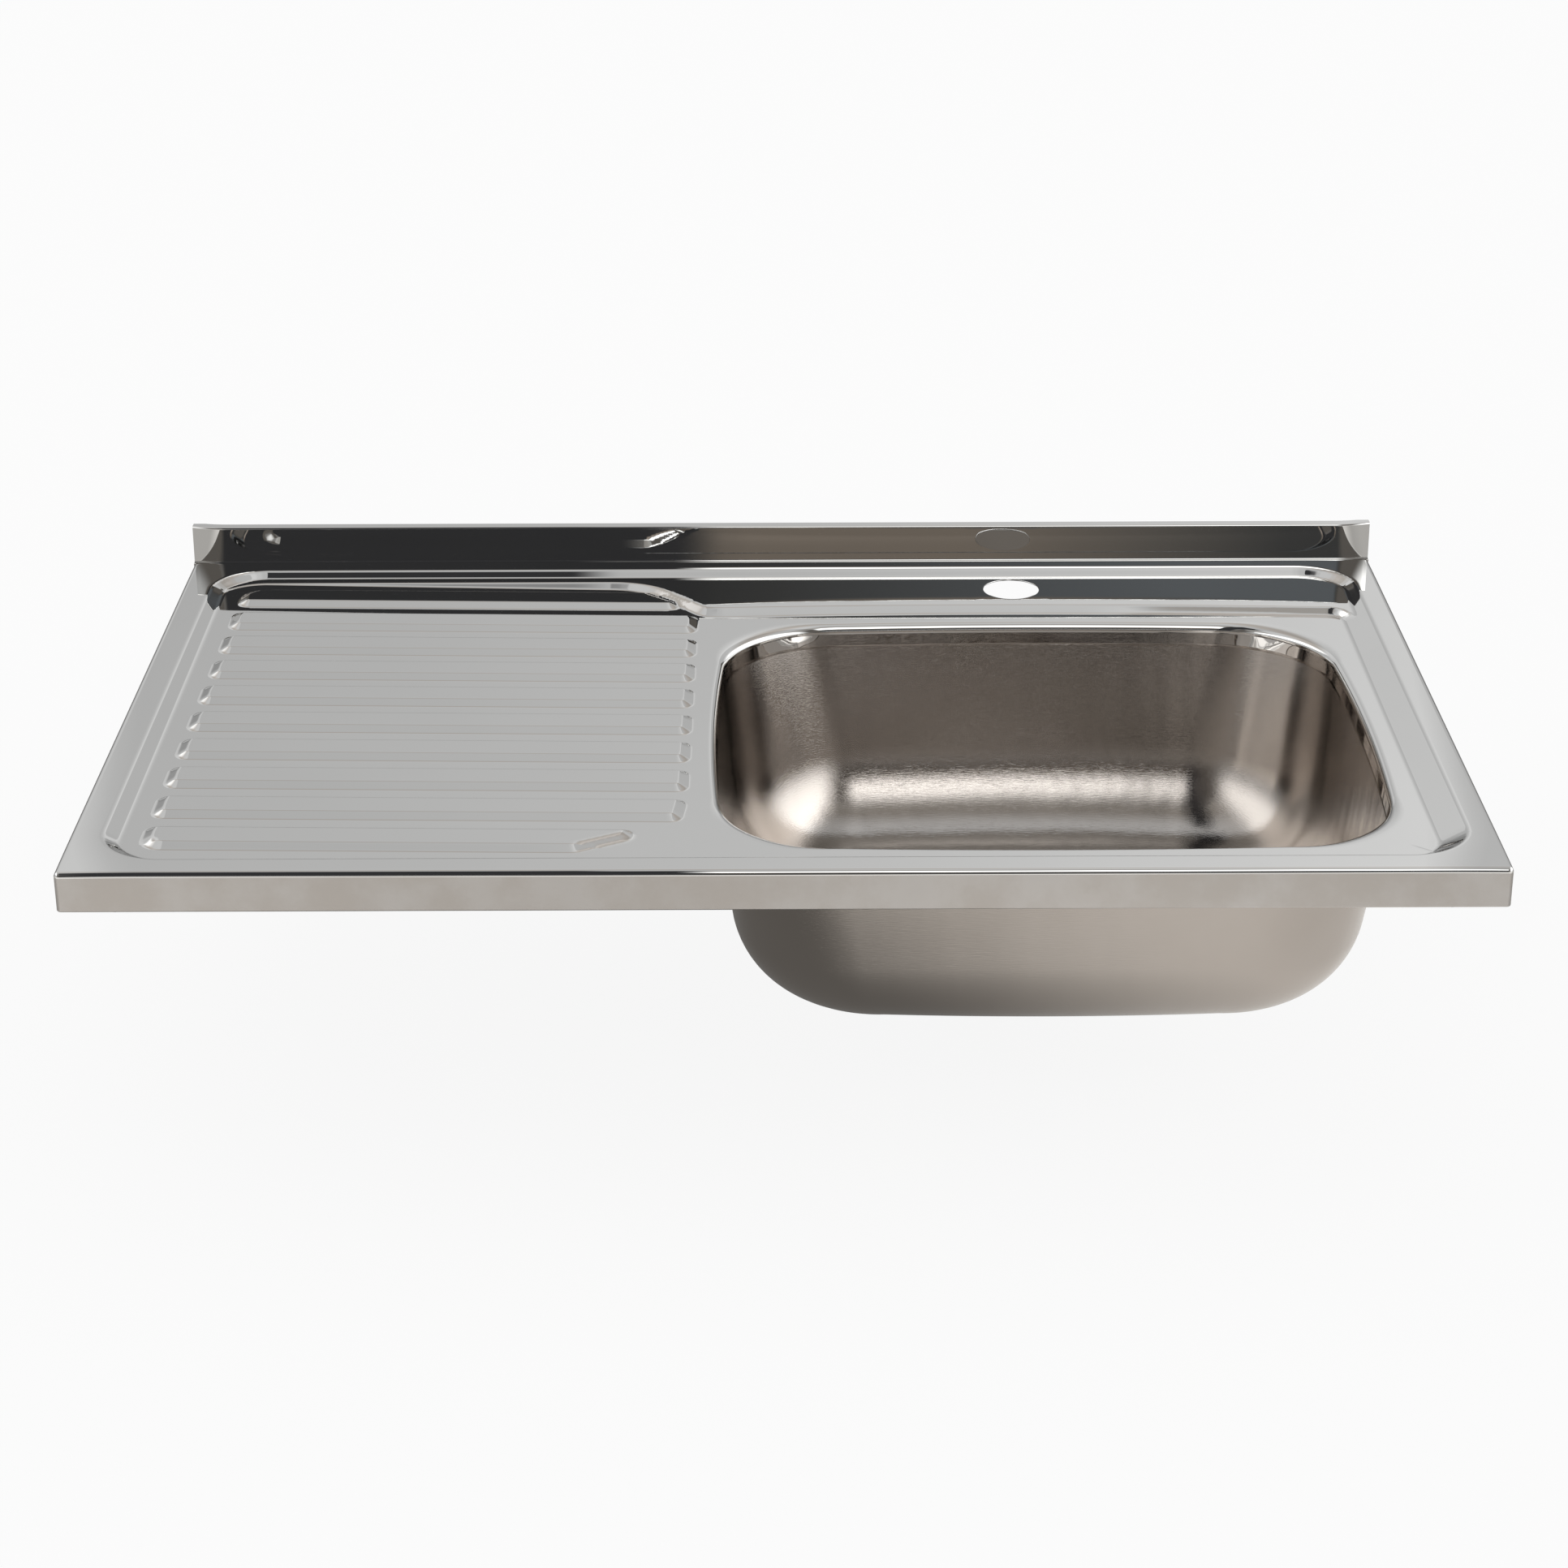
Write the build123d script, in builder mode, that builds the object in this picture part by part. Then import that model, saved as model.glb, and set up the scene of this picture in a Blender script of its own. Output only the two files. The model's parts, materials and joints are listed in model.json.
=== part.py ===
"""Lay-on kitchen sink: a pressed steel top with a ribbed drainboard on the left and a drawn
bowl on the right, one tap hole in the ledge behind the bowl, and a basket strainer waste.

Millimetres, +Z up. X runs along the front, Y to the back. The origin is on the underside of
the return lip, in the middle of the front one, where the sink sits on its cabinet.
"""
from build123d import *
from math import radians, sqrt, tan
import os

os.makedirs("parts", exist_ok=True)

# ---------------------------------------------------------------- driving dimensions
# the top, bent from one sheet
top_length = 800.0          # left to right, over the side aprons
top_depth = 500.0           # front apron to the foot of the upstand
sheet = 0.8                 # steel thickness of the top and of the bowl
apron_height = 24.0         # front and side aprons, from the seat to the border
seat_lip = 12.0             # return lip that lies on the cabinet
fold_radius = 2.0           # outside radius of the apron's folds
upstand_height = 25.0       # above the border
upstand_lip = 8.0           # folded back at the top of the upstand
upstand_hem = 10.0          # folded down behind it
upstand_bend = 2.0          # outside radius of the upstand's folds

# the pressed recess that keeps the water in
border_left = 18.2
border_right = 15.7
border_front = 18.0
border_back = 15.5
recess_corner = 38.0        # corner radius at the border
press_angle = 30.0          # slope of the recess walls, from the horizontal
drain_depth = 5.0           # recess floor below the border, at the left end
bowl_level = 8.8            # recess floor below the border, round the bowl
fall_margin = 9.5           # from the end of the falling drainboard to the bowl's opening

# the raised ledge that carries the tap
ledge_drop = 4.5            # ledge below the border
ledge_depth = 78.5          # from the upstand to the ledge's front edge, at its left end
ledge_bow = 5.0             # how far that edge bends back behind the bowl
ledge_skew = 3.0            # its right end lies this much nearer to the front
strip_depth = 29.5          # from the upstand to the edge of the narrow strip behind the ribs
sweep_margin = 8.5          # from where the front edge turns up to the strip, to the bowl
sweep_angle = 50.0          # of that oblique stretch, from the front edge
sweep_nose = 12.0           # radius of the turn at its front end
sweep_hollow = 50.0         # radius of the turn at its back end
strip_bend = 11.0           # from the recess's left edge to the strip's corner
strip_corner = 33.0         # radius of the strip at that corner
strip_run_out = 45.0        # length over which it runs out into the left wall
ledge_corner = 15.0         # radius where the front edge turns to run out at the right wall
ledge_run_out = 40.0
tap_hole = 37.0             # diameter
tap_offset = 3.6            # to the left of the bowl's middle
tap_from_upstand = 46.0

# the drainboard ribs
rib_pitch = 42.8
rib_height = 3.0
rib_top = 19.2              # width of the flat top
rib_angle = 26.0            # slope of the rib's sides, from the horizontal
rib_corner = 8.0            # corners of a rib's foot, in plan
first_rib_from_upstand = 57.5   # middle of the rearmost rib
last_rib_from_front = 50.0      # the front rib's middle is no nearer to the apron
rib_margin_left = 39.0      # from the left edge of the top to the ribs' feet
rib_margin_right = 5.0      # from the end of the fall to the ribs' feet
field_back_left = 17.0      # rounded corners of the field that the ribs fill
field_front_left = 13.0
field_front_right = 62.0
field_back_right = 35.0

# the bowl
bowl_length = 395.5         # opening, over the bowed sides
bowl_margin_right = 45.0    # from the opening to the right edge of the top
bowl_margin_front = 48.5    # to the front apron
bowl_margin_back = 100.0    # to the upstand
bowl_end_bow = 8.5          # how far the two short sides bow out
bowl_side_bow = 6.5         # how far the two long sides bow out
bowl_corner = 72.0
bowl_depth = 133.4          # from the bowl surround to the floor
bowl_draft = 6.2            # of the walls, from the vertical
bowl_floor_radius = 60.0    # between wall and floor
bowl_floor_corner = 92.0    # the corners open out on the way down to the floor
bowl_floor_bow = 10.0       # and the long sides bow this much more there
rim_radius = 4.5            # rolled edge between surround and bowl
rim_collar = 1.5            # straight collar under the roll, where the bowl is welded on

# the outlet in the bowl floor, and the waste in it
outlet_from_bowl_back = 140.0   # outlet's middle to the back of the bowl's opening
cup_diameter = 85.0         # outside, under the flange
cup_taper = 6.5             # the cup's foot is this much smaller all round
cup_clearance = 2.5         # cup to the hole in the bowl
flange_width = 12.0         # of the part that lies on the bowl
seat_recess_gap = 2.0       # flange to the shallow round recess that sinks it
seat_recess_depth = 2.6
flange_seal_thickness = 1.6
cup_depth = 33.0            # over the flange and the bottom
cup_sheet = 0.8
cup_bend = 2.5              # outside radius of the cup's bends
cup_slot_count = 10
cup_slot_length = 15.0
cup_slot_width = 5.0
cup_slot_margin = 14.0      # from the cup's foot to the middle of the slots
body_seal_thickness = 3.0
body_flange_width = 10.0
body_flange_thickness = 4.0
body_wall = 2.6
body_cup_depth = 38.0       # under its flange, to where the floor starts to slope
body_cone_depth = 6.0       # of the sloping floor
outlet_thread = 47.8        # outside diameter of the pipe thread, G 1 1/2
outlet_thread_length = 12.0
outlet_bore = 40.0
hub_diameter = 15.0
hub_gap = 3.0               # between the cup's bottom and the hub
hub_arm_count = 4
hub_arm_thickness = 3.0
hub_arm_drop = 3.0          # the arms stand this much lower than the hub
screw_diameter = 6.0
screw_length = 16.0
screw_hole = 6.6
screw_head = 16.0
screw_head_height = 2.2
screw_head_chamfer = 0.5
screw_slot = 1.4
screw_slot_depth = 1.1
insert_diameter = 9.0
insert_length = 10.0
thread_clearance = 0.05
seal_clearance = 0.5        # seals to the hole and to the edge of what they seal

# the lift-out basket
basket_clearance = 1.2      # basket rim to cup
basket_sheet = 0.7
basket_height = 22.0
basket_foot_margin = 8.0    # the basket's foot is this much smaller than the cup's all round
basket_rim = 2.4            # width of the turned-out rim
basket_bend = 3.0
basket_hole = 4.0
basket_ring_count = 8       # holes in the inner ring, twice as many in the outer
basket_hole_margin = 7.0    # from the basket's foot to the middle of the outer ring of holes
basket_ring_step = 8.0      # from there to the inner ring
basket_slot_count = 20
basket_slot_width = 2.2
basket_slot_height = 10.0
stopper_margin = 1.2        # stopper edge to the foot of the cup
stopper_thickness = 6.0
stopper_chamfer = 1.5
stopper_hollow = 22.0       # clears the screw's head
stopper_hollow_depth = 4.2
post_diameter = 7.0
post_height = 22.0
stem_diameter = 4.0
rivet_diameter = 8.0
rivet_height = 0.9
knob_diameter = 20.0
knob_height = 11.0
knob_edge = 1.8             # radius of its rounded edges
knob_neck = 12.0            # diameter
knob_neck_height = 5.5
knob_socket = 6.0           # depth to which the post sits in the knob

# damping pad under the bowl floor, in front of the outlet
pad_length = 200.0
pad_width = 68.0
pad_thickness = 2.0
pad_corner = 15.0
pad_gap = 12.0              # to the outlet's recess

# hold-down clips on the side lips
clip_width = 26.0
clip_sheet = 1.5
clip_bend = 1.0             # inside radius
clip_leg = 30.0             # below the seat
clip_reach = 2.5            # from the apron's outside to the clip's edge
clip_hole = 4.5             # for the screw into the panel
clip_hole_drop = 18.0       # below the seat
cabinet_panel = 18.0        # thickness of the cabinet's side panels
clip_front = 76.0           # from the front apron to the first clip
clip_spacing = 330.0

overrun = 1.0               # how far cutting solids run past what they cut
pick = 0.1                  # how far an edge may lie from where it is looked for

# ---------------------------------------------------------------- derived places
half_length = top_length / 2
front_y = -seat_lip / 2
back_y = front_y + top_depth
middle_y = (front_y + back_y) / 2
border_z = apron_height

bowl_width = top_depth - bowl_margin_front - bowl_margin_back
bowl_left = half_length - bowl_margin_right - bowl_length
bowl_back = back_y - bowl_margin_back
bowl_x = bowl_left + bowl_length / 2
bowl_y = bowl_back - bowl_width / 2

recess_left = -half_length + border_left
recess_right = half_length - border_right
recess_front = front_y + border_front
recess_back = back_y - border_back
press_taper = 90 - press_angle
fall_start = recess_left + drain_depth / tan(radians(press_angle))
fall_end = bowl_left - fall_margin
bowl_level_z = border_z - bowl_level
fall_rise = bowl_level - drain_depth
fall_slope = -fall_rise / (fall_end - fall_start)
recess_depth = bowl_level + overrun

ledge_z = border_z - ledge_drop
ledge_left_y = back_y - ledge_depth
ledge_right_y = ledge_left_y - ledge_skew
strip_y = back_y - strip_depth
sweep_start = bowl_left - sweep_margin
sweep_run = (strip_y - ledge_left_y) / tan(radians(sweep_angle))
ledge_foot = ledge_drop + overrun

rib_run = rib_height / tan(radians(rib_angle))
rib_foot = rib_top + 2 * rib_run
first_rib_y = back_y - first_rib_from_upstand
rib_count = 1 + int((first_rib_y - front_y - last_rib_from_front) / rib_pitch)
field_left = -half_length + rib_margin_left
field_right = fall_end - rib_margin_right
field_back = first_rib_y + rib_foot / 2
field_front = first_rib_y - (rib_count - 1) * rib_pitch - rib_foot / 2

rim_foot_z = bowl_level_z - rim_radius - rim_collar
bowl_floor_z = bowl_level_z - bowl_depth
tap_x = bowl_x - tap_offset
tap_y = back_y - tap_from_upstand

outlet_x = bowl_x
outlet_y = bowl_back - outlet_from_bowl_back
outlet_hole = cup_diameter + 2 * cup_clearance
flange_diameter = outlet_hole + 2 * flange_width
seat_recess = flange_diameter + 2 * seat_recess_gap
body_flange_diameter = outlet_hole + 2 * body_flange_width
cup_foot_diameter = cup_diameter - 2 * cup_taper
cup_slot_circle = cup_foot_diameter - 2 * cup_slot_margin
basket_foot_diameter = cup_foot_diameter - 2 * basket_foot_margin
basket_outer_ring = basket_foot_diameter - 2 * basket_hole_margin
basket_inner_ring = basket_outer_ring - 2 * basket_ring_step
outlet_axis = Axis((outlet_x, outlet_y, 0), (0, 0, 1))
outlet_section = Plane(origin=(outlet_x, outlet_y, 0), x_dir=(1, 0, 0), z_dir=(0, -1, 0))
recess_floor_z = bowl_floor_z - seat_recess_depth
flange_z = recess_floor_z + flange_seal_thickness
flange_top_z = flange_z + cup_sheet
cup_foot_z = flange_top_z - cup_depth
cup_floor_z = cup_foot_z + cup_sheet
body_top_z = recess_floor_z - sheet - body_seal_thickness
body_cup_z = body_top_z - body_cup_depth
body_cone_z = body_cup_z - body_cone_depth
hub_z = cup_foot_z - hub_gap
stopper_top_z = cup_floor_z + stopper_thickness
basket_top_z = stopper_top_z + basket_height
post_foot_z = stopper_top_z + basket_sheet
post_top_z = post_foot_z + post_height


def outlet_plane(z):
    """Level plane on the outlet's axis."""
    return Plane(origin=(outlet_x, outlet_y, z))


# ---------------------------------------------------------------- the pressed top
def recess_plan():
    """Outline of the recess at the border."""
    with BuildSketch(Plane.XY.offset(border_z)) as plan:
        with Locations(((recess_left + recess_right) / 2, (recess_front + recess_back) / 2)):
            RectangleRounded(recess_right - recess_left, recess_back - recess_front, recess_corner)
    return plan.sketch


def floor_profile():
    """Section of the recess floor, seen from the front: it falls from the left, then is level."""
    low_z = border_z - recess_depth - overrun
    left_z = bowl_level_z + fall_slope * (recess_left - fall_end)
    with BuildSketch(Plane.XZ.offset(-recess_back)) as profile:
        with BuildLine():
            Polyline((recess_left, left_z), (fall_end, bowl_level_z), (recess_right, bowl_level_z))
            Polyline((recess_right, bowl_level_z), (recess_right, low_z), (recess_left, low_z))
            Line((recess_left, low_z), (recess_left, left_z))
        make_face()
    return profile.sketch


def ledge_plan():
    """Outline of the tap ledge, with the narrow strip that it sends along the back."""
    left = recess_left - overrun
    right = recess_right + overrun
    back = recess_back + overrun
    with BuildSketch(Plane.XY.offset(ledge_z)) as plan:
        with BuildLine():
            nose = (sweep_start, ledge_left_y)
            hollow = (sweep_start - sweep_run, strip_y)
            bend = (recess_left + strip_bend, strip_y)
            heel = (recess_right - ledge_corner, ledge_right_y)
            bow = ((sweep_start + heel[0]) / 2, ledge_left_y + ledge_bow)
            ThreePointArc(heel, bow, nose)
            Polyline(nose, hollow, bend, (left, strip_y - strip_run_out), (left, back))
            Polyline((left, back), (right, back), (right, ledge_right_y - ledge_run_out), heel)
        make_face()
        fillet(plan.vertices().sort_by_distance(heel)[0], ledge_corner)
        fillet(plan.vertices().sort_by_distance(nose)[0], sweep_nose)
        fillet(plan.vertices().sort_by_distance(hollow)[0], sweep_hollow)
        fillet(plan.vertices().sort_by_distance(bend)[0], strip_corner)
    return plan.sketch


def corner_inset(distance, radius):
    """How far a rounded corner draws a side in, at a distance from the corner's end."""
    if distance >= radius:
        return 0.0
    return radius - sqrt(radius**2 - (radius - distance) ** 2)


def rib_end(y):
    """X of the ribs' right end at y, where the field's two right corners are rounded."""
    front = corner_inset(y - field_front, field_front_right)
    back = corner_inset(field_back - y, field_back_right)
    return field_right - max(front, back) - fall_end


def rib_plan(number):
    """Outline of one rib's foot on the falling floor, counted from the back."""
    middle = first_rib_y - number * rib_pitch
    near = middle - rib_foot / 2
    far = middle + rib_foot / 2
    left = field_left - fall_end
    far_left_radius = field_back_left if number == 0 else rib_corner
    near_left_radius = field_front_left if number == rib_count - 1 else rib_corner
    with BuildSketch() as plan:
        with BuildLine():
            Polyline((left, near), (rib_end(near), near), (rib_end(far), far), (left, far), close=True)
        make_face()
        fillet(plan.vertices().sort_by_distance((left, far))[0], far_left_radius)
        fillet(plan.vertices().sort_by_distance((left, near))[0], near_left_radius)
        fillet(plan.vertices().sort_by_distance((rib_end(near), near))[0], rib_corner)
        fillet(plan.vertices().sort_by_distance((rib_end(far), far))[0], rib_corner)
    return plan.sketch


def bowl_outline(z, grow=0.0, corner=bowl_corner, bow=bowl_side_bow):
    """Outline of the bowl's opening, grown all round: four bowed sides with round corners."""
    half_x = bowl_length / 2 + grow
    half_y = bowl_width / 2 + grow
    corner_x = half_x - bowl_end_bow
    corner_y = half_y - bow
    with BuildSketch(Plane.XY.offset(z)) as plan:
        with Locations((bowl_x, bowl_y)):
            with BuildSketch(mode=Mode.PRIVATE) as outline:
                with BuildLine():
                    ThreePointArc((-corner_x, -corner_y), (0, -half_y), (corner_x, -corner_y))
                    ThreePointArc((corner_x, -corner_y), (half_x, 0), (corner_x, corner_y))
                    ThreePointArc((corner_x, corner_y), (0, half_y), (-corner_x, corner_y))
                    ThreePointArc((-corner_x, corner_y), (-half_x, 0), (-corner_x, -corner_y))
                make_face()
                fillet(outline.vertices(), corner)
            add(outline.sketch)
    return plan.sketch


def form_under_face(inset):
    """Everything under the top's upper face; with an inset of one sheet, under its lower face."""
    side = half_length - inset
    front = front_y + inset
    drain_floor = Plane(
        origin=(fall_end, 0, bowl_level_z),
        x_dir=(1, 0, fall_slope),
        z_dir=(-fall_slope, 0, 1),
    )
    with BuildPart() as form:
        with BuildSketch(Plane.XY.offset(border_z)):
            with Locations((0, (front + back_y) / 2)):
                Rectangle(2 * side, back_y - front)
        extrude(amount=2 * inset - border_z)
        folds = form.edges().filter_by(Axis.X).filter_by_position(Axis.Y, front - pick, front + pick)
        folds += form.edges().filter_by(Axis.Y)
        folds += form.edges().filter_by(Axis.Z).filter_by_position(Axis.Y, front - pick, front + pick)
        fillet(folds, fold_radius - inset)
        extrude(recess_plan(), amount=-recess_depth, taper=press_taper, mode=Mode.SUBTRACT)
        extrude(floor_profile(), amount=recess_back - recess_front)
        extrude(ledge_plan(), amount=-ledge_foot, taper=-press_taper)
        for number in range(rib_count):
            extrude(drain_floor * rib_plan(number), amount=rib_height, taper=90 - rib_angle)
    return form.part


def opening_edges(builder, z):
    """The level edges round the bowl's opening at one height."""
    reach_x = bowl_length / 2 + 2 * sheet
    reach_y = bowl_width / 2 + 2 * sheet
    edges = builder.edges().filter_by_position(Axis.Z, z - pick, z + pick)
    edges = edges.filter_by_position(Axis.X, bowl_x - reach_x, bowl_x + reach_x)
    return edges.filter_by_position(Axis.Y, bowl_y - reach_y, bowl_y + reach_y)


with BuildPart() as sink_top:
    add(form_under_face(0))
    add(form_under_face(sheet).moved(Location((0, 0, -sheet))), mode=Mode.SUBTRACT)

    # the cabinet side: only the return lip is left of the underside
    with BuildSketch(Plane.XY.offset(-overrun)):
        with Locations((0, front_y + seat_lip)):
            Rectangle(top_length - 2 * seat_lip, top_depth, align=(Align.CENTER, Align.MIN))
    extrude(amount=2 * overrun, mode=Mode.SUBTRACT)

    # the upstand, bent up at the back, folded back and hemmed
    with BuildSketch(Plane.YZ.offset(-half_length)):
        with BuildLine():
            FilletPolyline(
                (back_y, border_z - sheet),
                (back_y, border_z - sheet + upstand_height),
                (back_y + upstand_lip - sheet, border_z - sheet + upstand_height),
                (back_y + upstand_lip - sheet, border_z + upstand_height - upstand_hem),
                radius=upstand_bend - sheet,
            )
            offset(amount=sheet, side=Side.LEFT)
        make_face()
    extrude(amount=top_length)

    # the bowl's opening, with its rolled edge and the collar that carries the bowl
    extrude(bowl_outline(rim_foot_z, sheet, bowl_corner + sheet), amount=bowl_level_z - rim_foot_z - sheet / 2)
    fillet(opening_edges(sink_top, bowl_level_z - sheet), rim_radius - sheet)
    extrude(bowl_outline(rim_foot_z), amount=border_z, mode=Mode.SUBTRACT)
    fillet(opening_edges(sink_top, bowl_level_z), rim_radius)

    # the tap hole
    with Locations((tap_x, tap_y, ledge_z)):
        Hole(tap_hole / 2)

sink_top.part.label = "sink_top"
export_step(sink_top.part, "parts/sink_top.step")


# ---------------------------------------------------------------- the bowl
def bowl_form(grow):
    """The drawn bowl as a solid, grown all round; its walls draw in towards the floor."""
    floor_z = bowl_floor_z - grow
    draw_in = (rim_foot_z - floor_z) * tan(radians(bowl_draft))
    with BuildPart() as form:
        add(bowl_outline(rim_foot_z, grow, bowl_corner + grow))
        add(bowl_outline(floor_z, grow - draw_in, bowl_floor_corner + grow, bowl_side_bow + bowl_floor_bow))
        loft(ruled=True)
        fillet(form.faces().sort_by(Axis.Z)[0].edges(), bowl_floor_radius + grow)
    return form.part


with BuildPart() as bowl:
    add(bowl_form(sheet))
    with BuildSketch(outlet_plane(bowl_floor_z)):
        Circle(seat_recess / 2 + sheet)
    extrude(amount=-seat_recess_depth - sheet)
    add(bowl_form(0), mode=Mode.SUBTRACT)
    with BuildSketch(outlet_plane(bowl_floor_z + overrun)):
        Circle(seat_recess / 2)
    extrude(amount=-seat_recess_depth - overrun, mode=Mode.SUBTRACT)
    with Locations(outlet_plane(recess_floor_z)):
        Hole(outlet_hole / 2)
bowl.part.label = "bowl"
export_step(bowl.part, "parts/bowl.step")

with BuildPart() as sound_pad:
    pad_back = outlet_y - seat_recess / 2 - pad_gap
    with BuildSketch(Plane.XY.offset(bowl_floor_z - sheet)):
        with Locations((outlet_x, pad_back - pad_width / 2)):
            RectangleRounded(pad_length, pad_width, pad_corner)
    extrude(amount=-pad_thickness)
sound_pad.part.label = "sound_pad"
export_step(sound_pad.part, "parts/sound_pad.step")


# ---------------------------------------------------------------- the waste
def ring(z, thickness, outer, inner):
    """A flat ring on the outlet's axis, standing on z."""
    with BuildPart() as form:
        with BuildSketch(outlet_plane(z)):
            Circle(outer / 2)
            Circle(inner / 2, mode=Mode.SUBTRACT)
        extrude(amount=thickness)
    return form.part


with BuildPart() as flange_seal:
    seal_outer = flange_diameter - 2 * seal_clearance
    seal_inner = outlet_hole + 2 * seal_clearance
    add(ring(recess_floor_z, flange_seal_thickness, seal_outer, seal_inner))
flange_seal.part.label = "flange_seal"
export_step(flange_seal.part, "parts/flange_seal.step")

with BuildPart() as waste_flange:
    with BuildSketch(outlet_section) as cup_section:
        flange_r = flange_diameter / 2
        cup_r = cup_diameter / 2
        foot_r = cup_foot_diameter / 2
        hole_r = screw_hole / 2
        with BuildLine():
            Polyline((flange_r, flange_top_z), (flange_r, flange_z), (cup_r, flange_z))
            Polyline((cup_r, flange_z), (foot_r, cup_foot_z), (hole_r, cup_foot_z))
            Polyline((hole_r, cup_foot_z), (hole_r, cup_floor_z), (foot_r - cup_sheet, cup_floor_z))
            Polyline((foot_r - cup_sheet, cup_floor_z), (cup_r - cup_sheet, flange_top_z))
            Line((cup_r - cup_sheet, flange_top_z), (flange_r, flange_top_z))
        make_face()
        bends = cup_section.vertices()
        fillet(bends.sort_by_distance((cup_r, flange_z))[0], cup_bend - cup_sheet)
        bends = cup_section.vertices()
        fillet(bends.sort_by_distance((cup_r - cup_sheet, flange_top_z))[0], cup_bend)
        bends = cup_section.vertices()
        fillet(bends.sort_by_distance((foot_r, cup_foot_z))[0], cup_bend)
        bends = cup_section.vertices()
        fillet(bends.sort_by_distance((foot_r - cup_sheet, cup_floor_z))[0], cup_bend - cup_sheet)
    revolve(axis=outlet_axis)
    with BuildSketch(outlet_plane(cup_foot_z - overrun)):
        with PolarLocations(cup_slot_circle / 2, cup_slot_count):
            SlotOverall(cup_slot_length, cup_slot_width)
    extrude(amount=cup_sheet + 2 * overrun, mode=Mode.SUBTRACT)
waste_flange.part.label = "waste_flange"
export_step(waste_flange.part, "parts/waste_flange.step")

with BuildPart() as body_seal:
    add(ring(body_top_z, body_seal_thickness, body_flange_diameter - 2 * seal_clearance, seal_inner))
body_seal.part.label = "body_seal"
export_step(body_seal.part, "parts/body_seal.step")

with BuildPart() as waste_body:
    body_r = outlet_hole / 2
    thread_r = outlet_thread / 2
    bore_r = outlet_bore / 2
    outlet_foot_z = body_cone_z - body_wall - outlet_thread_length
    arm_top_z = hub_z - hub_arm_drop
    with BuildSketch(outlet_section):
        with BuildLine():
            Polyline(
                (body_r, body_top_z),
                (body_flange_diameter / 2, body_top_z),
                (body_flange_diameter / 2, body_top_z - body_flange_thickness),
                (body_r + body_wall, body_top_z - body_flange_thickness),
                (body_r + body_wall, body_cup_z),
                (thread_r, body_cone_z - body_wall),
                (thread_r, outlet_foot_z),
                (bore_r, outlet_foot_z),
                (bore_r, body_cone_z),
                (body_r, body_cup_z),
                close=True,
            )
        make_face()
    revolve(axis=outlet_axis)
    # the hub that holds the screw's insert, on its arms
    with BuildSketch(outlet_plane(body_cup_z)):
        with PolarLocations(0, hub_arm_count):
            Rectangle(body_r + body_wall / 2, hub_arm_thickness, align=(Align.MIN, Align.CENTER))
    extrude(amount=arm_top_z - body_cup_z)
    with BuildSketch(outlet_plane(body_cone_z)):
        Circle(hub_diameter / 2)
    extrude(amount=hub_z - body_cone_z)
    with Locations(outlet_plane(hub_z)):
        CounterBoreHole(screw_hole / 2, insert_diameter / 2, insert_length)
waste_body.part.label = "waste_body"
export_step(waste_body.part, "parts/waste_body.step")

with BuildPart() as clamp_insert:
    add(ring(hub_z - insert_length, insert_length, insert_diameter, screw_diameter + 2 * thread_clearance))
clamp_insert.part.label = "clamp_insert"
export_step(clamp_insert.part, "parts/clamp_insert.step")

with BuildPart() as clamp_screw:
    with BuildSketch(outlet_plane(cup_floor_z)):
        Circle(screw_head / 2)
    extrude(amount=screw_head_height)
    chamfer(clamp_screw.faces().sort_by(Axis.Z)[-1].edges(), screw_head_chamfer)
    with BuildSketch(outlet_plane(cup_floor_z + screw_head_height)):
        Rectangle(screw_head, screw_slot)
    extrude(amount=-screw_slot_depth, mode=Mode.SUBTRACT)
    with BuildSketch(outlet_plane(cup_floor_z)):
        Circle(screw_diameter / 2)
    extrude(amount=-screw_length)
clamp_screw.part.label = "clamp_screw"
export_step(clamp_screw.part, "parts/clamp_screw.step")

# ---------------------------------------------------------------- the lift-out basket
cup_slope = (cup_diameter - cup_foot_diameter) / 2 / (flange_z - cup_foot_z)
basket_r = cup_r - cup_sheet - (flange_z - basket_top_z) * cup_slope - basket_clearance
basket_foot_r = basket_foot_diameter / 2
basket_wall_r = basket_r - basket_rim

with BuildPart() as strainer_basket:
    with BuildSketch(outlet_section) as basket_section:
        with BuildLine():
            Polyline(
                (stem_diameter / 2, stopper_top_z),
                (basket_foot_r, stopper_top_z),
                (basket_wall_r, basket_top_z - basket_sheet),
                (basket_r, basket_top_z - basket_sheet),
                (basket_r, basket_top_z),
                (basket_wall_r - basket_sheet, basket_top_z),
                (basket_foot_r - basket_sheet, post_foot_z),
                (stem_diameter / 2, post_foot_z),
                close=True,
            )
        make_face()
        bends = basket_section.vertices()
        fillet(bends.sort_by_distance((basket_foot_r, stopper_top_z))[0], basket_bend)
        bends = basket_section.vertices()
        fillet(bends.sort_by_distance((basket_foot_r - basket_sheet, post_foot_z))[0], basket_bend - basket_sheet)
    revolve(axis=outlet_axis)
    with BuildSketch(outlet_plane(stopper_top_z - overrun)):
        with PolarLocations(basket_inner_ring / 2, basket_ring_count):
            Circle(basket_hole / 2)
        with PolarLocations(basket_outer_ring / 2, 2 * basket_ring_count):
            Circle(basket_hole / 2)
    extrude(amount=basket_sheet + 2 * overrun, mode=Mode.SUBTRACT)
    with Locations(outlet_plane(stopper_top_z + basket_height / 2)):
        with PolarLocations(basket_foot_r - basket_bend, basket_slot_count):
            Box(
                basket_r - basket_foot_r + basket_bend, basket_slot_width, basket_slot_height,
                align=(Align.MIN, Align.CENTER, Align.CENTER), mode=Mode.SUBTRACT,
            )
strainer_basket.part.label = "strainer_basket"
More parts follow.
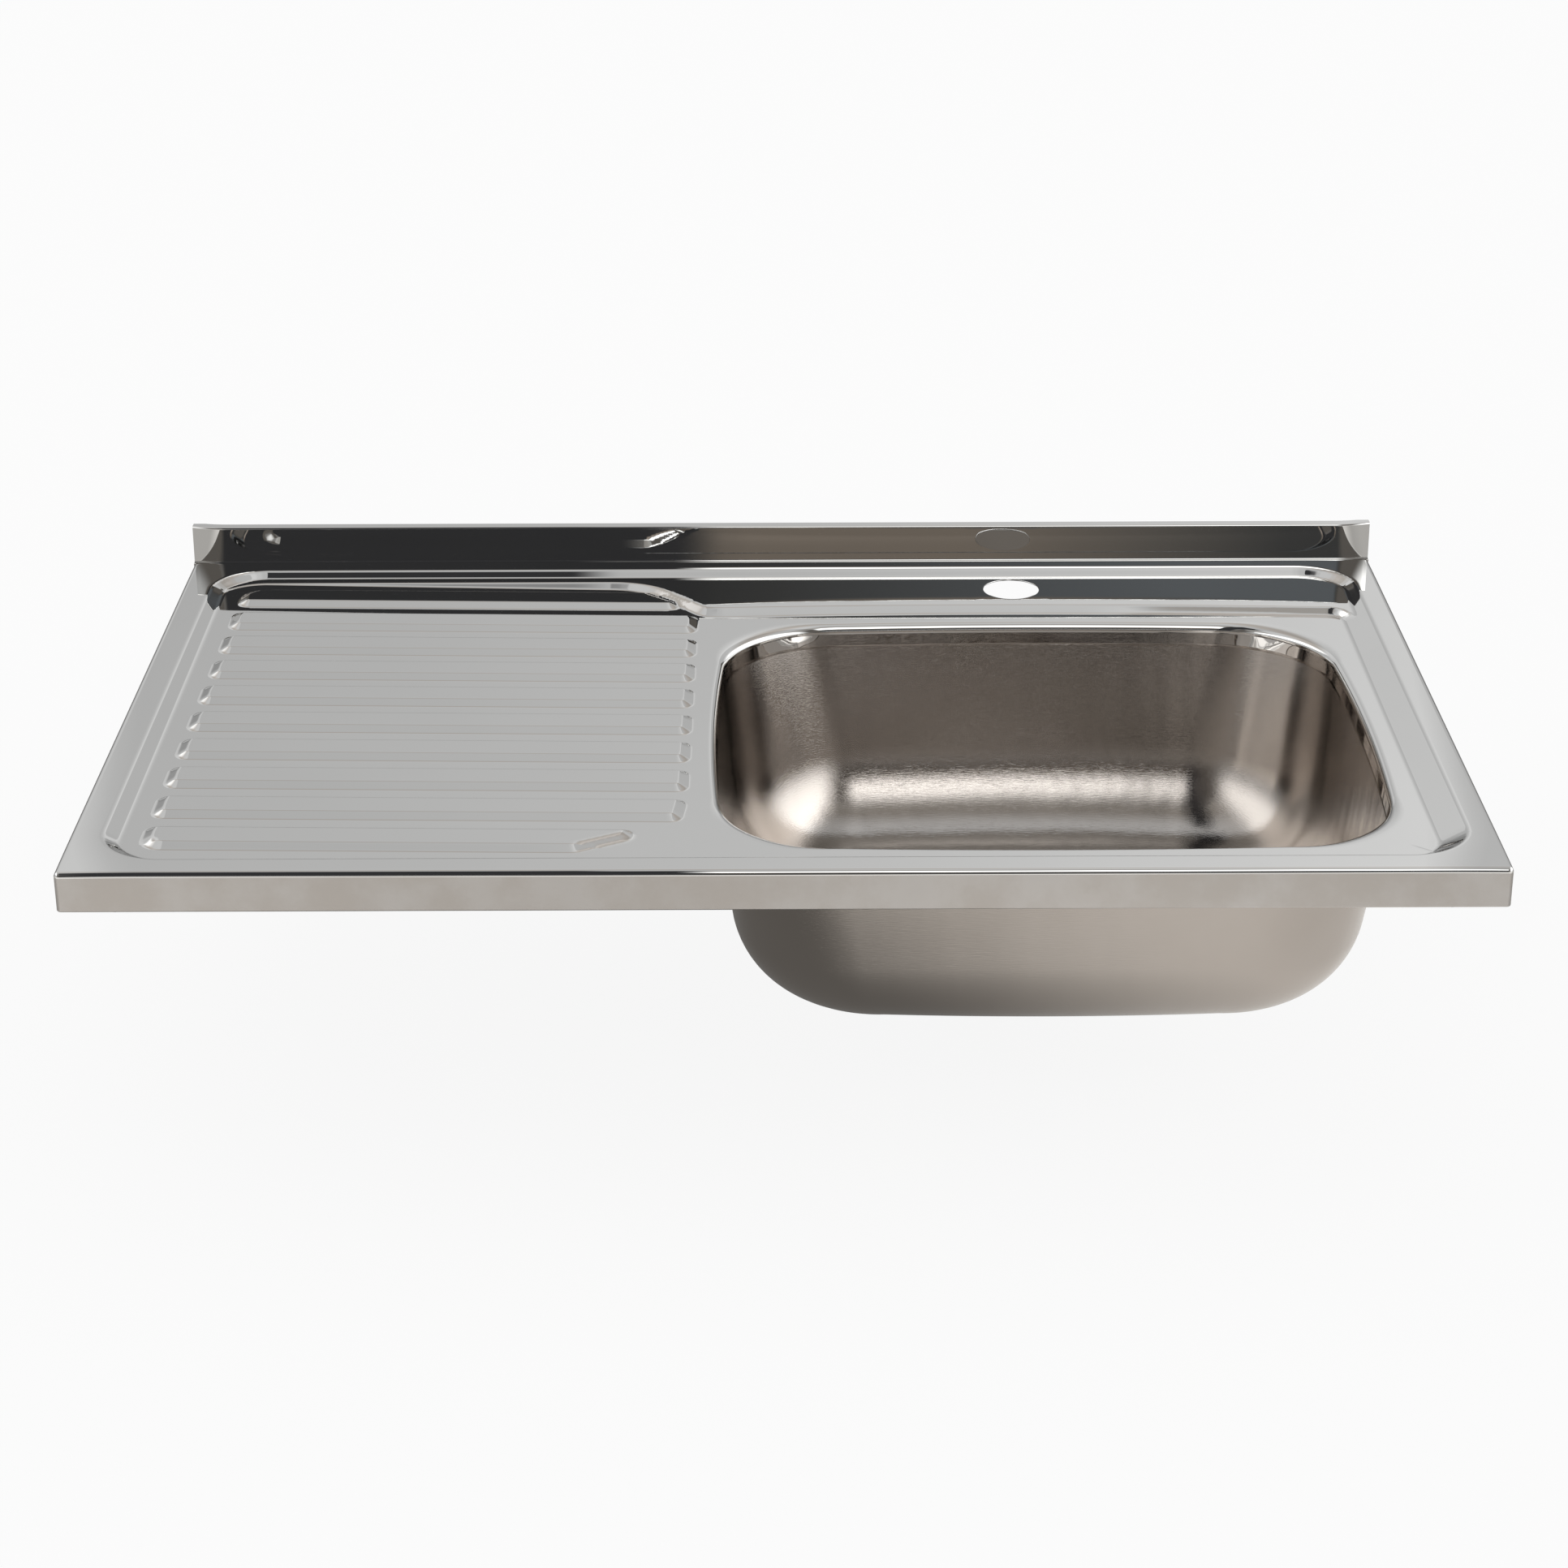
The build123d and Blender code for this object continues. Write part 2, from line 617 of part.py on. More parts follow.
export_step(strainer_basket.part, "parts/strainer_basket.step")

with BuildPart() as basket_stopper:
    stopper_r = foot_r - cup_sheet - cup_bend - stopper_margin
    with BuildSketch(outlet_plane(cup_floor_z)):
        Circle(stopper_r)
    extrude(amount=stopper_thickness)
    chamfer(basket_stopper.faces().sort_by(Axis.Z)[-1].edges(), stopper_chamfer)
    with BuildSketch(outlet_plane(cup_floor_z)):
        Circle(stopper_hollow / 2)
    extrude(amount=stopper_hollow_depth, mode=Mode.SUBTRACT)
    with Locations(outlet_plane(stopper_top_z)):
        Hole(stem_diameter / 2)
basket_stopper.part.label = "basket_stopper"
export_step(basket_stopper.part, "parts/basket_stopper.step")

with BuildPart() as basket_post:
    rivet_z = cup_floor_z + stopper_hollow_depth
    with BuildSketch(outlet_plane(post_foot_z)):
        Circle(post_diameter / 2)
    extrude(amount=post_height)
    with BuildSketch(outlet_plane(post_foot_z)):
        Circle(stem_diameter / 2)
    extrude(amount=rivet_z - post_foot_z)
    with BuildSketch(outlet_plane(rivet_z)):
        Circle(rivet_diameter / 2)
    extrude(amount=-rivet_height)
basket_post.part.label = "basket_post"
export_step(basket_post.part, "parts/basket_post.step")

with BuildPart() as basket_knob:
    knob_r = knob_diameter / 2
    knob_foot_z = post_top_z - knob_socket
    with BuildSketch(outlet_section) as knob_section:
        with BuildLine():
            Polyline(
                (0, knob_foot_z),
                (knob_neck / 2, knob_foot_z),
                (knob_neck / 2, knob_foot_z + knob_neck_height),
                (knob_r, knob_foot_z + knob_neck_height),
                (knob_r, knob_foot_z + knob_height),
                (0, knob_foot_z + knob_height),
                close=True,
            )
        make_face()
        corners = knob_section.vertices().filter_by_position(Axis.X, knob_r - pick, knob_r + pick)
        fillet(corners, knob_edge)
    revolve(axis=outlet_axis)
    with BuildSketch(outlet_plane(knob_foot_z)):
        Circle(post_diameter / 2)
    extrude(amount=knob_socket, mode=Mode.SUBTRACT)
basket_knob.part.label = "basket_knob"
export_step(basket_knob.part, "parts/basket_knob.step")


# ---------------------------------------------------------------- the clips
def clip_plane(side, y):
    """Section plane of a clip: its X points away from the middle of the sink."""
    return Plane(origin=(0, y, 0), x_dir=(side, 0, 0), z_dir=(0, -side, 0))


clip_first_y = front_y + clip_front
clip_places = {
    "fixing_clip_front_left": (-1, clip_first_y),
    "fixing_clip_rear_left": (-1, clip_first_y + clip_spacing),
    "fixing_clip_front_right": (1, clip_first_y),
    "fixing_clip_rear_right": (1, clip_first_y + clip_spacing),
}
for name, (side, y) in clip_places.items():
    leg_x = half_length - cabinet_panel
    with BuildPart() as fixing_clip:
        with BuildSketch(clip_plane(side, y)):
            with BuildLine():
                FilletPolyline(
                    (half_length - clip_reach, sheet),
                    (leg_x, sheet),
                    (leg_x, -clip_leg),
                    radius=clip_bend,
                )
                offset(amount=clip_sheet, side=Side.RIGHT)
            make_face()
        extrude(amount=clip_width / 2, both=True)
        leg_face = Plane(origin=(side * leg_x, y, -clip_hole_drop), x_dir=(0, 1, 0), z_dir=(side, 0, 0))
        with Locations(leg_face):
            Hole(clip_hole / 2)
    fixing_clip.part.label = name
    export_step(fixing_clip.part, f"parts/{name}.step")
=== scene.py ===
# %% [markdown]
# # Dressing a pressed steel kitchen sink
#
# The frame holds every piece of the sink as a plain solid. This notebook gives each one its
# finish. The two large steel pieces, the pressed top and the drawn bowl, are also made again as
# smooth skins: a mirror shows every edge of a plain solid, and the press leaves no edges.

# %% Load the frame
import json
from math import atan2, cos, pi, radians, sin, tan

import bpy
import numpy as np
from mathutils import Matrix, Vector


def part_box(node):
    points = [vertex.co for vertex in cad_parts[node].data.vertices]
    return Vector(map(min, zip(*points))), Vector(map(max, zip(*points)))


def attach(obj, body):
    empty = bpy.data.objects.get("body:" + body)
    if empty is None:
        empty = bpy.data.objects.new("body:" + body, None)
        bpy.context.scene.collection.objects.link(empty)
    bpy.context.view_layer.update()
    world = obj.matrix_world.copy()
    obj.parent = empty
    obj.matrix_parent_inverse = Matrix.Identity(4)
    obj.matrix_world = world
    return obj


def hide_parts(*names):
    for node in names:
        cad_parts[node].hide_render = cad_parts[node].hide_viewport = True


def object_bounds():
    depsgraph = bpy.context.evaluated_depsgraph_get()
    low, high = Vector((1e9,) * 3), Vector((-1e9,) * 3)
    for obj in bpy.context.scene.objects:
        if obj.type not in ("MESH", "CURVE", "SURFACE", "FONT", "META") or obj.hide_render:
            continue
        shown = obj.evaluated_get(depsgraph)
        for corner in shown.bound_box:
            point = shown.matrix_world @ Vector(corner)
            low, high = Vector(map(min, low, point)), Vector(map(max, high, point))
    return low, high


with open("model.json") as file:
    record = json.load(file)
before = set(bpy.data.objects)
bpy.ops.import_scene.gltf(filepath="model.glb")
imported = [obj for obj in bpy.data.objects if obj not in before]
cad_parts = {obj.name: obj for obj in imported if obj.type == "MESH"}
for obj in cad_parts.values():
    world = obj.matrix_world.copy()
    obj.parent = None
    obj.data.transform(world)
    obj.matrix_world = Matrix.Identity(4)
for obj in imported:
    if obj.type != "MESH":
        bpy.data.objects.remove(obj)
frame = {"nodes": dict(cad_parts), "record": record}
cad_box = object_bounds()
print("nodes:", sorted(frame["nodes"]))

# %% [markdown]
# ## Sizes
#
# All sizes below are millimetres, as on the drawing of the sink, and a vertex is turned into
# metres only when its mesh is made. What the frame knows is read from it: the outside of the top
# and the places of the tap hole and the outlet. The pressed forms follow the drawing: a recess
# that keeps the water in, a floor that falls to the bowl, a raised ledge for the tap, and ten
# ribs.

# %% Sizes of the sheet, the apron and the upstand
MM = 0.001

low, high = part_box("sink_top")
half_length = high.x / MM
front = low.y / MM
lip_back = high.y / MM
top_of_upstand = high.z / MM
sheet = 0.8
border = 24.0
fold = 2.6
lower_fold = 1.0
seat_lip = 12.0

upstand_lip = 8.0
upstand_hem = 10.0
upstand_bend = 1.2
upstand_foot_bend = 1.0
upstand_lean = 0.7
upstand_bow = 0.25
end_turn = 4.0
end_turn_run = 24.0
back = lip_back - upstand_lip
upstand_face = back - sheet
print("deck", 2 * half_length, "x", back - front, "mm")

# %% Sizes of the recess
recess_left = -half_length + 18.2
recess_right = half_length - 15.7
recess_front = front + 18.0
recess_back = back - 15.5
recess_corner = 38.0
press_angle = radians(30)
press_slope = tan(press_angle)
drain_level = border - 5.0
bowl_level = border - 8.8
border_crown = 0.0003
wall_top_bend = 2.0
wall_foot_bend = 2.4
back_wall_bend = 3.0
back_wall_steeper = 0.12
back_wall_start = recess_back - 60.0
back_wall_run = 40.0
print("recess", round(recess_right - recess_left, 1), "x", round(recess_back - recess_front, 1), "mm")

# %% Sizes of the bowl
bowl_length = 395.5
bowl_left = half_length - 45.0 - bowl_length
bowl_right = bowl_left + bowl_length
bowl_front = front + 48.5
bowl_back = back - 100.0
bowl_x = (bowl_left + bowl_right) / 2
bowl_y = (bowl_front + bowl_back) / 2
bowl_end_bow = 8.5
bowl_side_bow = 6.5
bowl_corner = 72.0
rim_roll = 4.5
rim_roll_corners = 6.0
rim_foot = bowl_level - rim_roll - 1.5
bowl_floor = bowl_level - 133.4
floor_radius = 60.0
floor_corner = 92.0
floor_bow = bowl_side_bow + 10.0
wall_draft = radians(6.2)
print("bowl's middle at", round(bowl_x, 2), round(bowl_y, 2))

# %% Sizes of the tap ledge
ledge = border - 4.5
ledge_left_y = back - 78.5
ledge_right_y = ledge_left_y - 3.0
ledge_bow = 6.5
ledge_bend = 1.6
ledge_crest = back - 50.0
ledge_crown = 0.0011
ledge_crown_ends = ledge_crown / 12
ledge_crown_reach = bowl_length / 2 + 22
steeper_angle = radians(13)
steeper_start = 200.0
steeper_run = 60.0
heel_inset = 15.0
heel_radius = 15.0
nose_radius = 12.0
strip_y = back - 29.5
strip_end = recess_left + 11.0
strip_end_radius = 33.0
sweep_start = bowl_left - 8.5
sweep_run = (strip_y - ledge_left_y) / tan(radians(50))
sweep_radius = 50.0

mounts = {mount["name"]: mount for mount in frame["record"]["mounts"]}
tap_x, tap_y = [value / MM for value in mounts["tap_hole"]["pos_m"][:2]]
tap_radius = mounts["tap_hole"]["dims"]["r_mm"]
outlet_x, outlet_y = [value / MM for value in mounts["waste_outlet"]["pos_m"][:2]]
print("tap hole at", round(tap_x, 2), round(tap_y, 2))
print("outlet at", round(outlet_x, 2), round(outlet_y, 2))

# %% Sizes of the drainboard
fall_start = recess_left + (border - drain_level) / press_slope
fall_end = bowl_left - 9.5
fall_softness = 20.0
rib_count = 10
rib_pitch = 42.8
rib_height = 3.0
rib_top = 19.2
rib_run = rib_height / tan(radians(26))
rib_foot = rib_top + 2 * rib_run
rib_foot_bend = 1.6
rib_top_bend = 1.0
rib_corner = 8.0
first_rib_corner = 17.0
last_rib_corner = 13.0
first_rib = back - 57.5
field_left = -half_length + 39.0
field_right = fall_end - 5.0
field_back = first_rib + rib_foot / 2
field_front = first_rib - (rib_count - 1) * rib_pitch - rib_foot / 2
field_front_corner = 62.0
field_back_corner = 35.0
print(rib_count, "ribs from", round(field_front, 1), "to", round(field_back, 1), "mm")

# %% [markdown]
# ## The form of the pressed top
#
# A press tool leaves soft shoulders. One function gives that softness to every slope: how much
# of a step's height is reached at a distance inside its outline. Between its two bends the slope
# is straight, as in the solid. An outline with rounded corners is a short list of corners and
# radii, and the distance to it is measured for all vertices at once with numpy. Sculpting would
# give soft forms too, but no even mirror.


# %% Soft slopes
def ease(share):
    """A step from 0 to 1 with soft ends."""
    share = np.clip(share, 0, 1)
    return share * share * (3 - 2 * share)


def soft_ramp(distance, width):
    """Rises one for one from 0 on, and bends up gently over a width."""
    bend = np.clip(distance, -width / 2, width / 2) + width / 2
    return bend**2 / (2 * width) + np.maximum(distance - width / 2, 0)


def pressed(distance, run, first_bend, last_bend):
    """Share of a step's height: a straight slope with a round shoulder at each end."""
    return (soft_ramp(distance, first_bend) - soft_ramp(distance - run, last_bend)) / run


# %% Outlines with rounded corners
def rounded(corners, radii, turn=radians(6)):
    """Points of a closed outline whose corners are arcs of the given radii."""
    points = []
    count = len(corners)
    for index, (corner, radius) in enumerate(zip(corners, radii)):
        here = np.array(corner, float)
        to_last = np.array(corners[index - 1], float) - here
        to_next = np.array(corners[(index + 1) % count], float) - here
        to_last /= np.linalg.norm(to_last)
        to_next /= np.linalg.norm(to_next)
        inner = np.arccos(np.clip(to_last @ to_next, -1, 1))
        if radius == 0 or pi - inner < 1e-3:
            points.append(here)
            continue
        reach = radius / tan(inner / 2)
        middle_way = (to_last + to_next) / np.linalg.norm(to_last + to_next)
        centre = here + middle_way * radius / sin(inner / 2)
        start = here + to_last * reach - centre
        steps = max(2, int((pi - inner) / turn))
        sense = np.sign(to_last[1] * to_next[0] - to_last[0] * to_next[1])
        for step in range(steps + 1):
            angle = sense * (pi - inner) * step / steps
            c, s = cos(angle), sin(angle)
            points.append(centre + np.array((c * start[0] - s * start[1], s * start[0] + c * start[1])))
    return np.array(points)


def inside(x, y, outline):
    """Distance inside a closed outline; outside it, the distance is negative."""
    nearest = np.full(x.shape, np.inf)
    within = np.zeros(x.shape, bool)
    for (ax, ay), (bx, by) in zip(outline, np.roll(outline, -1, axis=0)):
        dx, dy = bx - ax, by - ay
        along = np.clip(((x - ax) * dx + (y - ay) * dy) / (dx * dx + dy * dy), 0, 1)
        nearest = np.minimum(nearest, np.hypot(x - ax - along * dx, y - ay - along * dy))
        if ay != by:
            crosses = (ay > y) != (by > y)
            within ^= crosses & (x < ax + (y - ay) * dx / dy)
    return np.where(within, nearest, -nearest)


# %% [markdown]
# ## Recess, tap ledge and ribs
#
# The recess is a plain rounded rectangle. The tap ledge has a slightly bowed front edge, then
# sweeps back into a narrow strip behind the ribs. The ribs are all alike, but their right ends
# follow the drain field's rounded corners. Each form is drawn as the outline that a press tool
# would have, so one change of size moves everything that hangs on it.

# %% Outline of the recess
recess_corners = [
    (recess_left, recess_front),
    (recess_right, recess_front),
    (recess_right, recess_back),
    (recess_left, recess_back),
]
recess_outline = rounded(recess_corners, [recess_corner] * 4)


# %% Outline of the tap ledge
def make_ledge_outline():
    """The tap ledge, with the strip that it sends along the back behind the ribs."""
    past_recess = 1.0
    heel = (recess_right - heel_inset, ledge_right_y)
    nose = (sweep_start, ledge_left_y)
    middle = (heel[0] + nose[0]) / 2
    front_edge = []
    for share in np.linspace(0, 1, 20):
        x = heel[0] + (nose[0] - heel[0]) * share
        y = heel[1] + (nose[1] - heel[1]) * share
        front_edge.append((x, y + ledge_bow * (1 - ((x - middle) / (middle - nose[0])) ** 2)))
    corners = front_edge + [
        (sweep_start - sweep_run, strip_y),
        (strip_end, strip_y),
        (recess_left - past_recess, strip_y - 45.0),
        (recess_left - past_recess, recess_back + past_recess),
        (recess_right + past_recess, recess_back + past_recess),
        (recess_right + past_recess, ledge_right_y - 40.0),
    ]
    radii = [heel_radius] + [0] * (len(front_edge) - 2)
    radii += [nose_radius, sweep_radius, strip_end_radius, 0, 0, 0, 0]
    return rounded(corners, radii)


ledge_outline = make_ledge_outline()
print("ledge outline:", len(ledge_outline), "points")


# %% Outlines of the ribs
def corner_inset(distance, radius):
    """How far a rounded corner draws a side in, at a distance from the corner's end."""
    return 0.0 if distance >= radius else radius - (radius**2 - (radius - distance) ** 2) ** 0.5


def rib_end(y):
    """Right end of the ribs at y, where the field's two right corners are rounded."""
    from_front = corner_inset(y - field_front, field_front_corner)
    from_back = corner_inset(field_back - y, field_back_corner)
    return field_right - max(from_front, from_back)


def rib_outline(number):
    """Foot of one rib, counted from the back."""
    near = first_rib - number * rib_pitch - rib_foot / 2
    far = near + rib_foot
    corners = [(field_left, near), (rib_end(near), near), (rib_end(far), far), (field_left, far)]
    radii = [rib_corner] * 4
    if number == 0:
        radii[3] = first_rib_corner
    if number == rib_count - 1:
        radii[0] = last_rib_corner
    return rounded(corners, radii, radians(12))


# %% Height of the floor and the ribs
def floor_height(x):
    """The recess floor: it falls from the left, then is level round the bowl."""
    beyond = fall_end - x
    slope = (drain_level - bowl_level) / (fall_end - fall_start)
    return bowl_level + slope * (beyond + np.sqrt(beyond**2 + fall_softness**2)) / 2


def rib_rise(x, y):
    """How far the ribs stand above the floor."""
    rise = np.zeros_like(x)
    for number in range(rib_count):
        middle = first_rib - number * rib_pitch
        near = (np.abs(y - middle) < rib_pitch / 2) & (x < fall_end)
        within = inside(x[near], y[near], rib_outline(number))
        rise[near] = rib_height * pressed(within, rib_run, rib_foot_bend, rib_top_bend)
    return rise


# %% Height of the tap ledge
def ledge_height(x, y, ground):
    """The ledge over the floor: its front slope is steeper at the right, and it sags to the front."""
    angle = press_angle + steeper_angle * ease((x - steeper_start) / steeper_run)
    run = (ledge - ground) / np.tan(angle)
    within = inside(x, y, ledge_outline) + run
    raised = ground + (ledge - ground) * pressed(within, run, ledge_bend, ledge_bend)
    from_middle = np.clip((x - bowl_x) / ledge_crown_reach, -1, 1)
    sag = ledge_crown * (1 - from_middle**2) + ledge_crown_ends
    return raised - sag * np.maximum(ledge_crest - y, 0) ** 2 * (raised - ground) / (ledge - ground)


# %% Height of the pressed top
def top_height(x, y):
    """Height of the top's upper face over the whole deck."""
    ground = floor_height(x)
    pan = np.maximum(ground + rib_rise(x, y), ledge_height(x, y, ground))
    depth = inside(x, y, recess_outline)
    at_back = ease((y - back_wall_start) / back_wall_run)
    run = (border - pan) / press_slope * (1 - back_wall_steeper * at_back)
    outer = np.maximum(-depth, 0)
    sunk = pressed(depth, run, wall_top_bend + back_wall_bend * at_back, wall_foot_bend)
    return border - border_crown * outer**2 - (border - pan) * sunk


# %% [markdown]
# ## The bowl's outline
#
# The opening has four bowed sides and round corners. Each bow is part of a large circle, and a
# corner's circle touches two of them from inside, so its centre is where two shrunk circles
# cross. One quarter is worked out and mirrored. A bezier curve could be bent to look alike, but
# circles are what the tool has, and they keep their form when the outline shrinks to the floor.


# %% One quarter of the bowl's outline
def bowl_quarter(grow, corner, bow, counts):
    """Points and outward directions from the middle of a long side to that of a short side."""
    half_x = bowl_length / 2 + grow
    half_y = (bowl_back - bowl_front) / 2 + grow
    corner_x, corner_y = half_x - bowl_end_bow, half_y - bow
    long_radius = (corner_x**2 + bow**2) / (2 * bow)
    short_radius = (corner_y**2 + bowl_end_bow**2) / (2 * bowl_end_bow)
    long_centre = Vector((0, half_y - long_radius))
    short_centre = Vector((half_x - short_radius, 0))
    apart = (short_centre - long_centre).length
    long_reach, short_reach = long_radius - corner, short_radius - corner
    along = (long_reach**2 - short_reach**2 + apart**2) / (2 * apart)
    offset = (long_reach**2 - along**2) ** 0.5
    line = (short_centre - long_centre) / apart
    aside = Vector((-line.y, line.x)) if line.x > line.y else Vector((line.y, -line.x))
    centre = long_centre + line * along + aside * offset
    if centre.x < 0 or centre.y < 0:
        centre = long_centre + line * along - aside * offset
    long_end = atan2(*(centre - long_centre))
    short_end = atan2(*(centre - short_centre))
    points, outward = [], []
    arcs = (
        (long_centre, long_radius, 0.0, long_end, counts[0]),
        (centre, corner, long_end, short_end, counts[1]),
        (short_centre, short_radius, short_end, pi / 2, counts[2]),
    )
    for middle, radius, start, end, count in arcs:
        for step in range(count):
            angle = start + (end - start) * step / count
            direction = (sin(angle), cos(angle))
            outward.append(direction)
            points.append((middle.x + radius * direction[0], middle.y + radius * direction[1]))
    return np.array(points), np.array(outward)


# %% The whole outline of the bowl
def bowl_loop(counts, grow=0.0, corner=bowl_corner, bow=bowl_side_bow):
    """The bowl's outline and its outward directions, clockwise from the middle of the back."""
    points, outward = bowl_quarter(grow, corner, bow, counts)
    end = np.array([(bowl_length / 2 + grow, 0.0)])
    loops = []
    for part, last in ((points, end), (outward, np.array([(1.0, 0.0)]))):
        mirrored = np.vstack((last, part[:0:-1])) * (1, -1)
        half = np.vstack((part, mirrored))
        start = part[:1] * (1, -1)
        other = np.vstack((start, half[:0:-1])) * (-1, 1)
        loops.append(np.vstack((half, other)))
    return loops[0] + (bowl_x, bowl_y), loops[1]


opening_loop, opening_outward = bowl_loop((120, 160, 100))
print("bowl opening", np.ptp(opening_loop, axis=0).round(1), "mm,", len(opening_loop), "points")

# %% [markdown]
# ## The skin of the top
#
# The deck is a net of lines that lie close together where the form bends and far apart where it
# is flat, so a mirror finish stays smooth with few faces. A subdivided plane would need many
# more faces for bends as sharp. Two blocks are left open in the net, for the bowl and for the
# tap hole. One small class collects the vertices and faces of a skin, and gives them the
# thickness of the sheet in the end.


# %% A skin
class Skin:
    """Collects vertices and faces, then becomes a mesh object."""

    def __init__(self):
        self.points = []
        self.faces = []
        self.finish = []
        self.count = 0

    def add(self, points):
        """Adds vertices and returns their numbers."""
        points = np.asarray(points, float).reshape(-1, 3)
        numbers = np.arange(self.count, self.count + len(points))
        self.points.append(points)
        self.count += len(points)
        return numbers

    def places(self, numbers):
        """Where the vertices of the given numbers are."""
        return np.vstack(self.points)[numbers]

    def strip(self, first, second, finish=0, closed=False):
        """Faces between two rows of vertices with as many points each."""
        if closed:
            first, second = np.append(first, first[0]), np.append(second, second[0])
        for a, b, c, d in zip(first[:-1], first[1:], second[1:], second[:-1]):
            corners = [int(a)]
            for number in (b, c, d):
                if number not in corners:
                    corners.append(int(number))
            if len(corners) > 2:
                self.faces.append(corners)
                self.finish.append(finish)

    def build(self, name, materials, thickness, inner):
        """Makes the mesh, gives it its sheet's thickness and smooths it."""
        mesh = bpy.data.meshes.new(name)
        mesh.from_pydata((np.vstack(self.points) * MM).tolist(), [], self.faces)
        mesh.polygons.foreach_set("material_index", self.finish)
        for material in materials:
            mesh.materials.append(material)
        skin = bpy.data.objects.new(name, mesh)
        bpy.context.scene.collection.objects.link(skin)
        solid = skin.modifiers.new("sheet", "SOLIDIFY")
        solid.thickness = thickness * MM
        solid.offset = -1
        solid.material_offset = inner
        solid.material_offset_rim = inner
        self.apply(skin)
        skin.data.shade_smooth()
        skin.data.set_sharp_from_angle(angle=radians(45))
        weighted = skin.modifiers.new("even shading", "WEIGHTED_NORMAL")
        weighted.keep_sharp = True
        self.apply(skin)
        skin.data.name = name
        print(name, len(skin.data.polygons), "faces")
        return skin

    def apply(self, skin):
        """Makes what the modifiers show the object's own mesh."""
        graph = bpy.context.evaluated_depsgraph_get()
        finished = bpy.data.meshes.new_from_object(skin.evaluated_get(graph))
        skin.modifiers.clear()
        skin.data = finished


# %% Lines of the deck's net
def lines(*stretches):
    """Line positions: each stretch is (start, end, widest gap)."""
    found = []
    for start, end, gap in stretches:
        count = max(1, int(np.ceil((end - start) / gap - 1e-6)))
        found += list(start + (end - start) * np.arange(count) / count)
    return np.array(found + [stretches[-1][1]])


def rib_stretches():
    """Stretches across the ribs, with narrow gaps on the slopes and narrower ones in the bends."""
    found = []
    foot, top = rib_foot / 2, rib_foot / 2 - rib_run
    half_foot_bend, half_top_bend = rib_foot_bend / 2, rib_top_bend / 2
    near_side = (-foot - half_foot_bend, -foot + half_foot_bend, -top - half_top_bend, -top + half_top_bend)
    places = near_side + tuple(-place for place in reversed(near_side))
    gaps = (0.4, 1.2, 0.25, 3.0, 0.25, 1.2, 0.4)
    for number in range(rib_count - 1, -1, -1):
        middle = first_rib - number * rib_pitch
        for start, end, gap in zip(places, places[1:], gaps):
            found.append((middle + start, middle + end, gap))
        before_ledge_edge = number == 1
        to_next = 0.7 if before_ledge_edge else 2.5
        found.append((middle + places[-1], middle + rib_pitch + places[0], to_next))
    return found[:-1]


# %% The deck's net
deck_left, deck_right = -half_length + fold, half_length - fold
deck_front = front + fold
# Each block: left, right, front and back.
bowl_block = [fall_end + 0.5, 363.0, 34.0, 404.5]
tap_block = [tap_x - 27.0, tap_x + 27.0, tap_y - 25.0, tap_y + 21.0]
left_tips_end = field_left + 14
slanted_tip = -130.0
right_tips = field_right - 9
right_tips_end = field_right + 3
ledge_heel = 326.0

across = lines(
    (deck_left, left_tips_end, 0.8),
    (left_tips_end, slanted_tip, 7.0),
    (slanted_tip, right_tips, 1.6),
    (right_tips, right_tips_end, 0.6),
    (right_tips_end, bowl_block[0], 1.4),
    (bowl_block[0], tap_block[0], 6.0),
    (tap_block[0], tap_block[1], 3.0),
    (tap_block[1], ledge_heel, 6.0),
    (ledge_heel, bowl_block[1], 1.2),
    (bowl_block[1], deck_right, 0.8),
)
ribs_at = rib_stretches()
upward = lines(
    (deck_front, recess_front - 2, 2.0),
    (recess_front - 2, bowl_block[2], 0.7),
    (bowl_block[2], ribs_at[0][0], 1.0),
    *ribs_at,
    (ribs_at[-1][1], recess_back - 11, 0.7),
    (recess_back - 11, recess_back + 2, 0.6),
    (recess_back + 2, upstand_face - upstand_foot_bend, 2.0),
)
print("net", len(across), "x", len(upward))


# %% Faces of the deck
def nearest_lines(block):
    """Numbers of the net's lines next to a block's four sides."""
    columns = [int(np.argmin(abs(across - edge))) for edge in block[:2]]
    rows = [int(np.argmin(abs(upward - edge))) for edge in block[2:]]
    return columns + rows


net_x, net_y = np.meshgrid(across, upward)
top = Skin()
net = top.add(np.dstack((net_x, net_y, top_height(net_x, net_y)))).reshape(net_x.shape)
bowl_hole, tap_hole = nearest_lines(bowl_block), nearest_lines(tap_block)
for row in range(len(upward) - 1):
    start = 0
    holes = sorted((c0, c1) for c0, c1, r0, r1 in (bowl_hole, tap_hole) if r0 <= row < r1)
    for c0, c1 in holes + [(len(across) - 1, None)]:
        top.strip(net[row, start : c0 + 1], net[row + 1, start : c0 + 1])
        start = c1
print("deck:", len(top.faces), "faces")

# %% [markdown]
# ## The openings
#
# The bowl's opening has a rolled rim, which is wider at the corners, and the tap hole is punched
# with a small edge. A net of straight lines can't follow a round edge. So each open block is
# filled with rings: the first lies on the net's own vertices, the last on the opening's edge,
# and each vertex moves straight from one to the other. That leaves no seam to hide.


# %% Rings round an opening
def block_loop(block):
    """The net's own vertices round a block, counter-clockwise."""
    c0, c1, r0, r1 = block
    rows, columns = np.arange(r0, r1), np.arange(c0, c1)
    places = [(r0, c) for c in columns] + [(r, c1) for r in rows]
    places += [(r1, c) for c in columns[::-1] + 1] + [(r, c0) for r in rows[::-1] + 1]
    return net[tuple(np.array(places).T)]


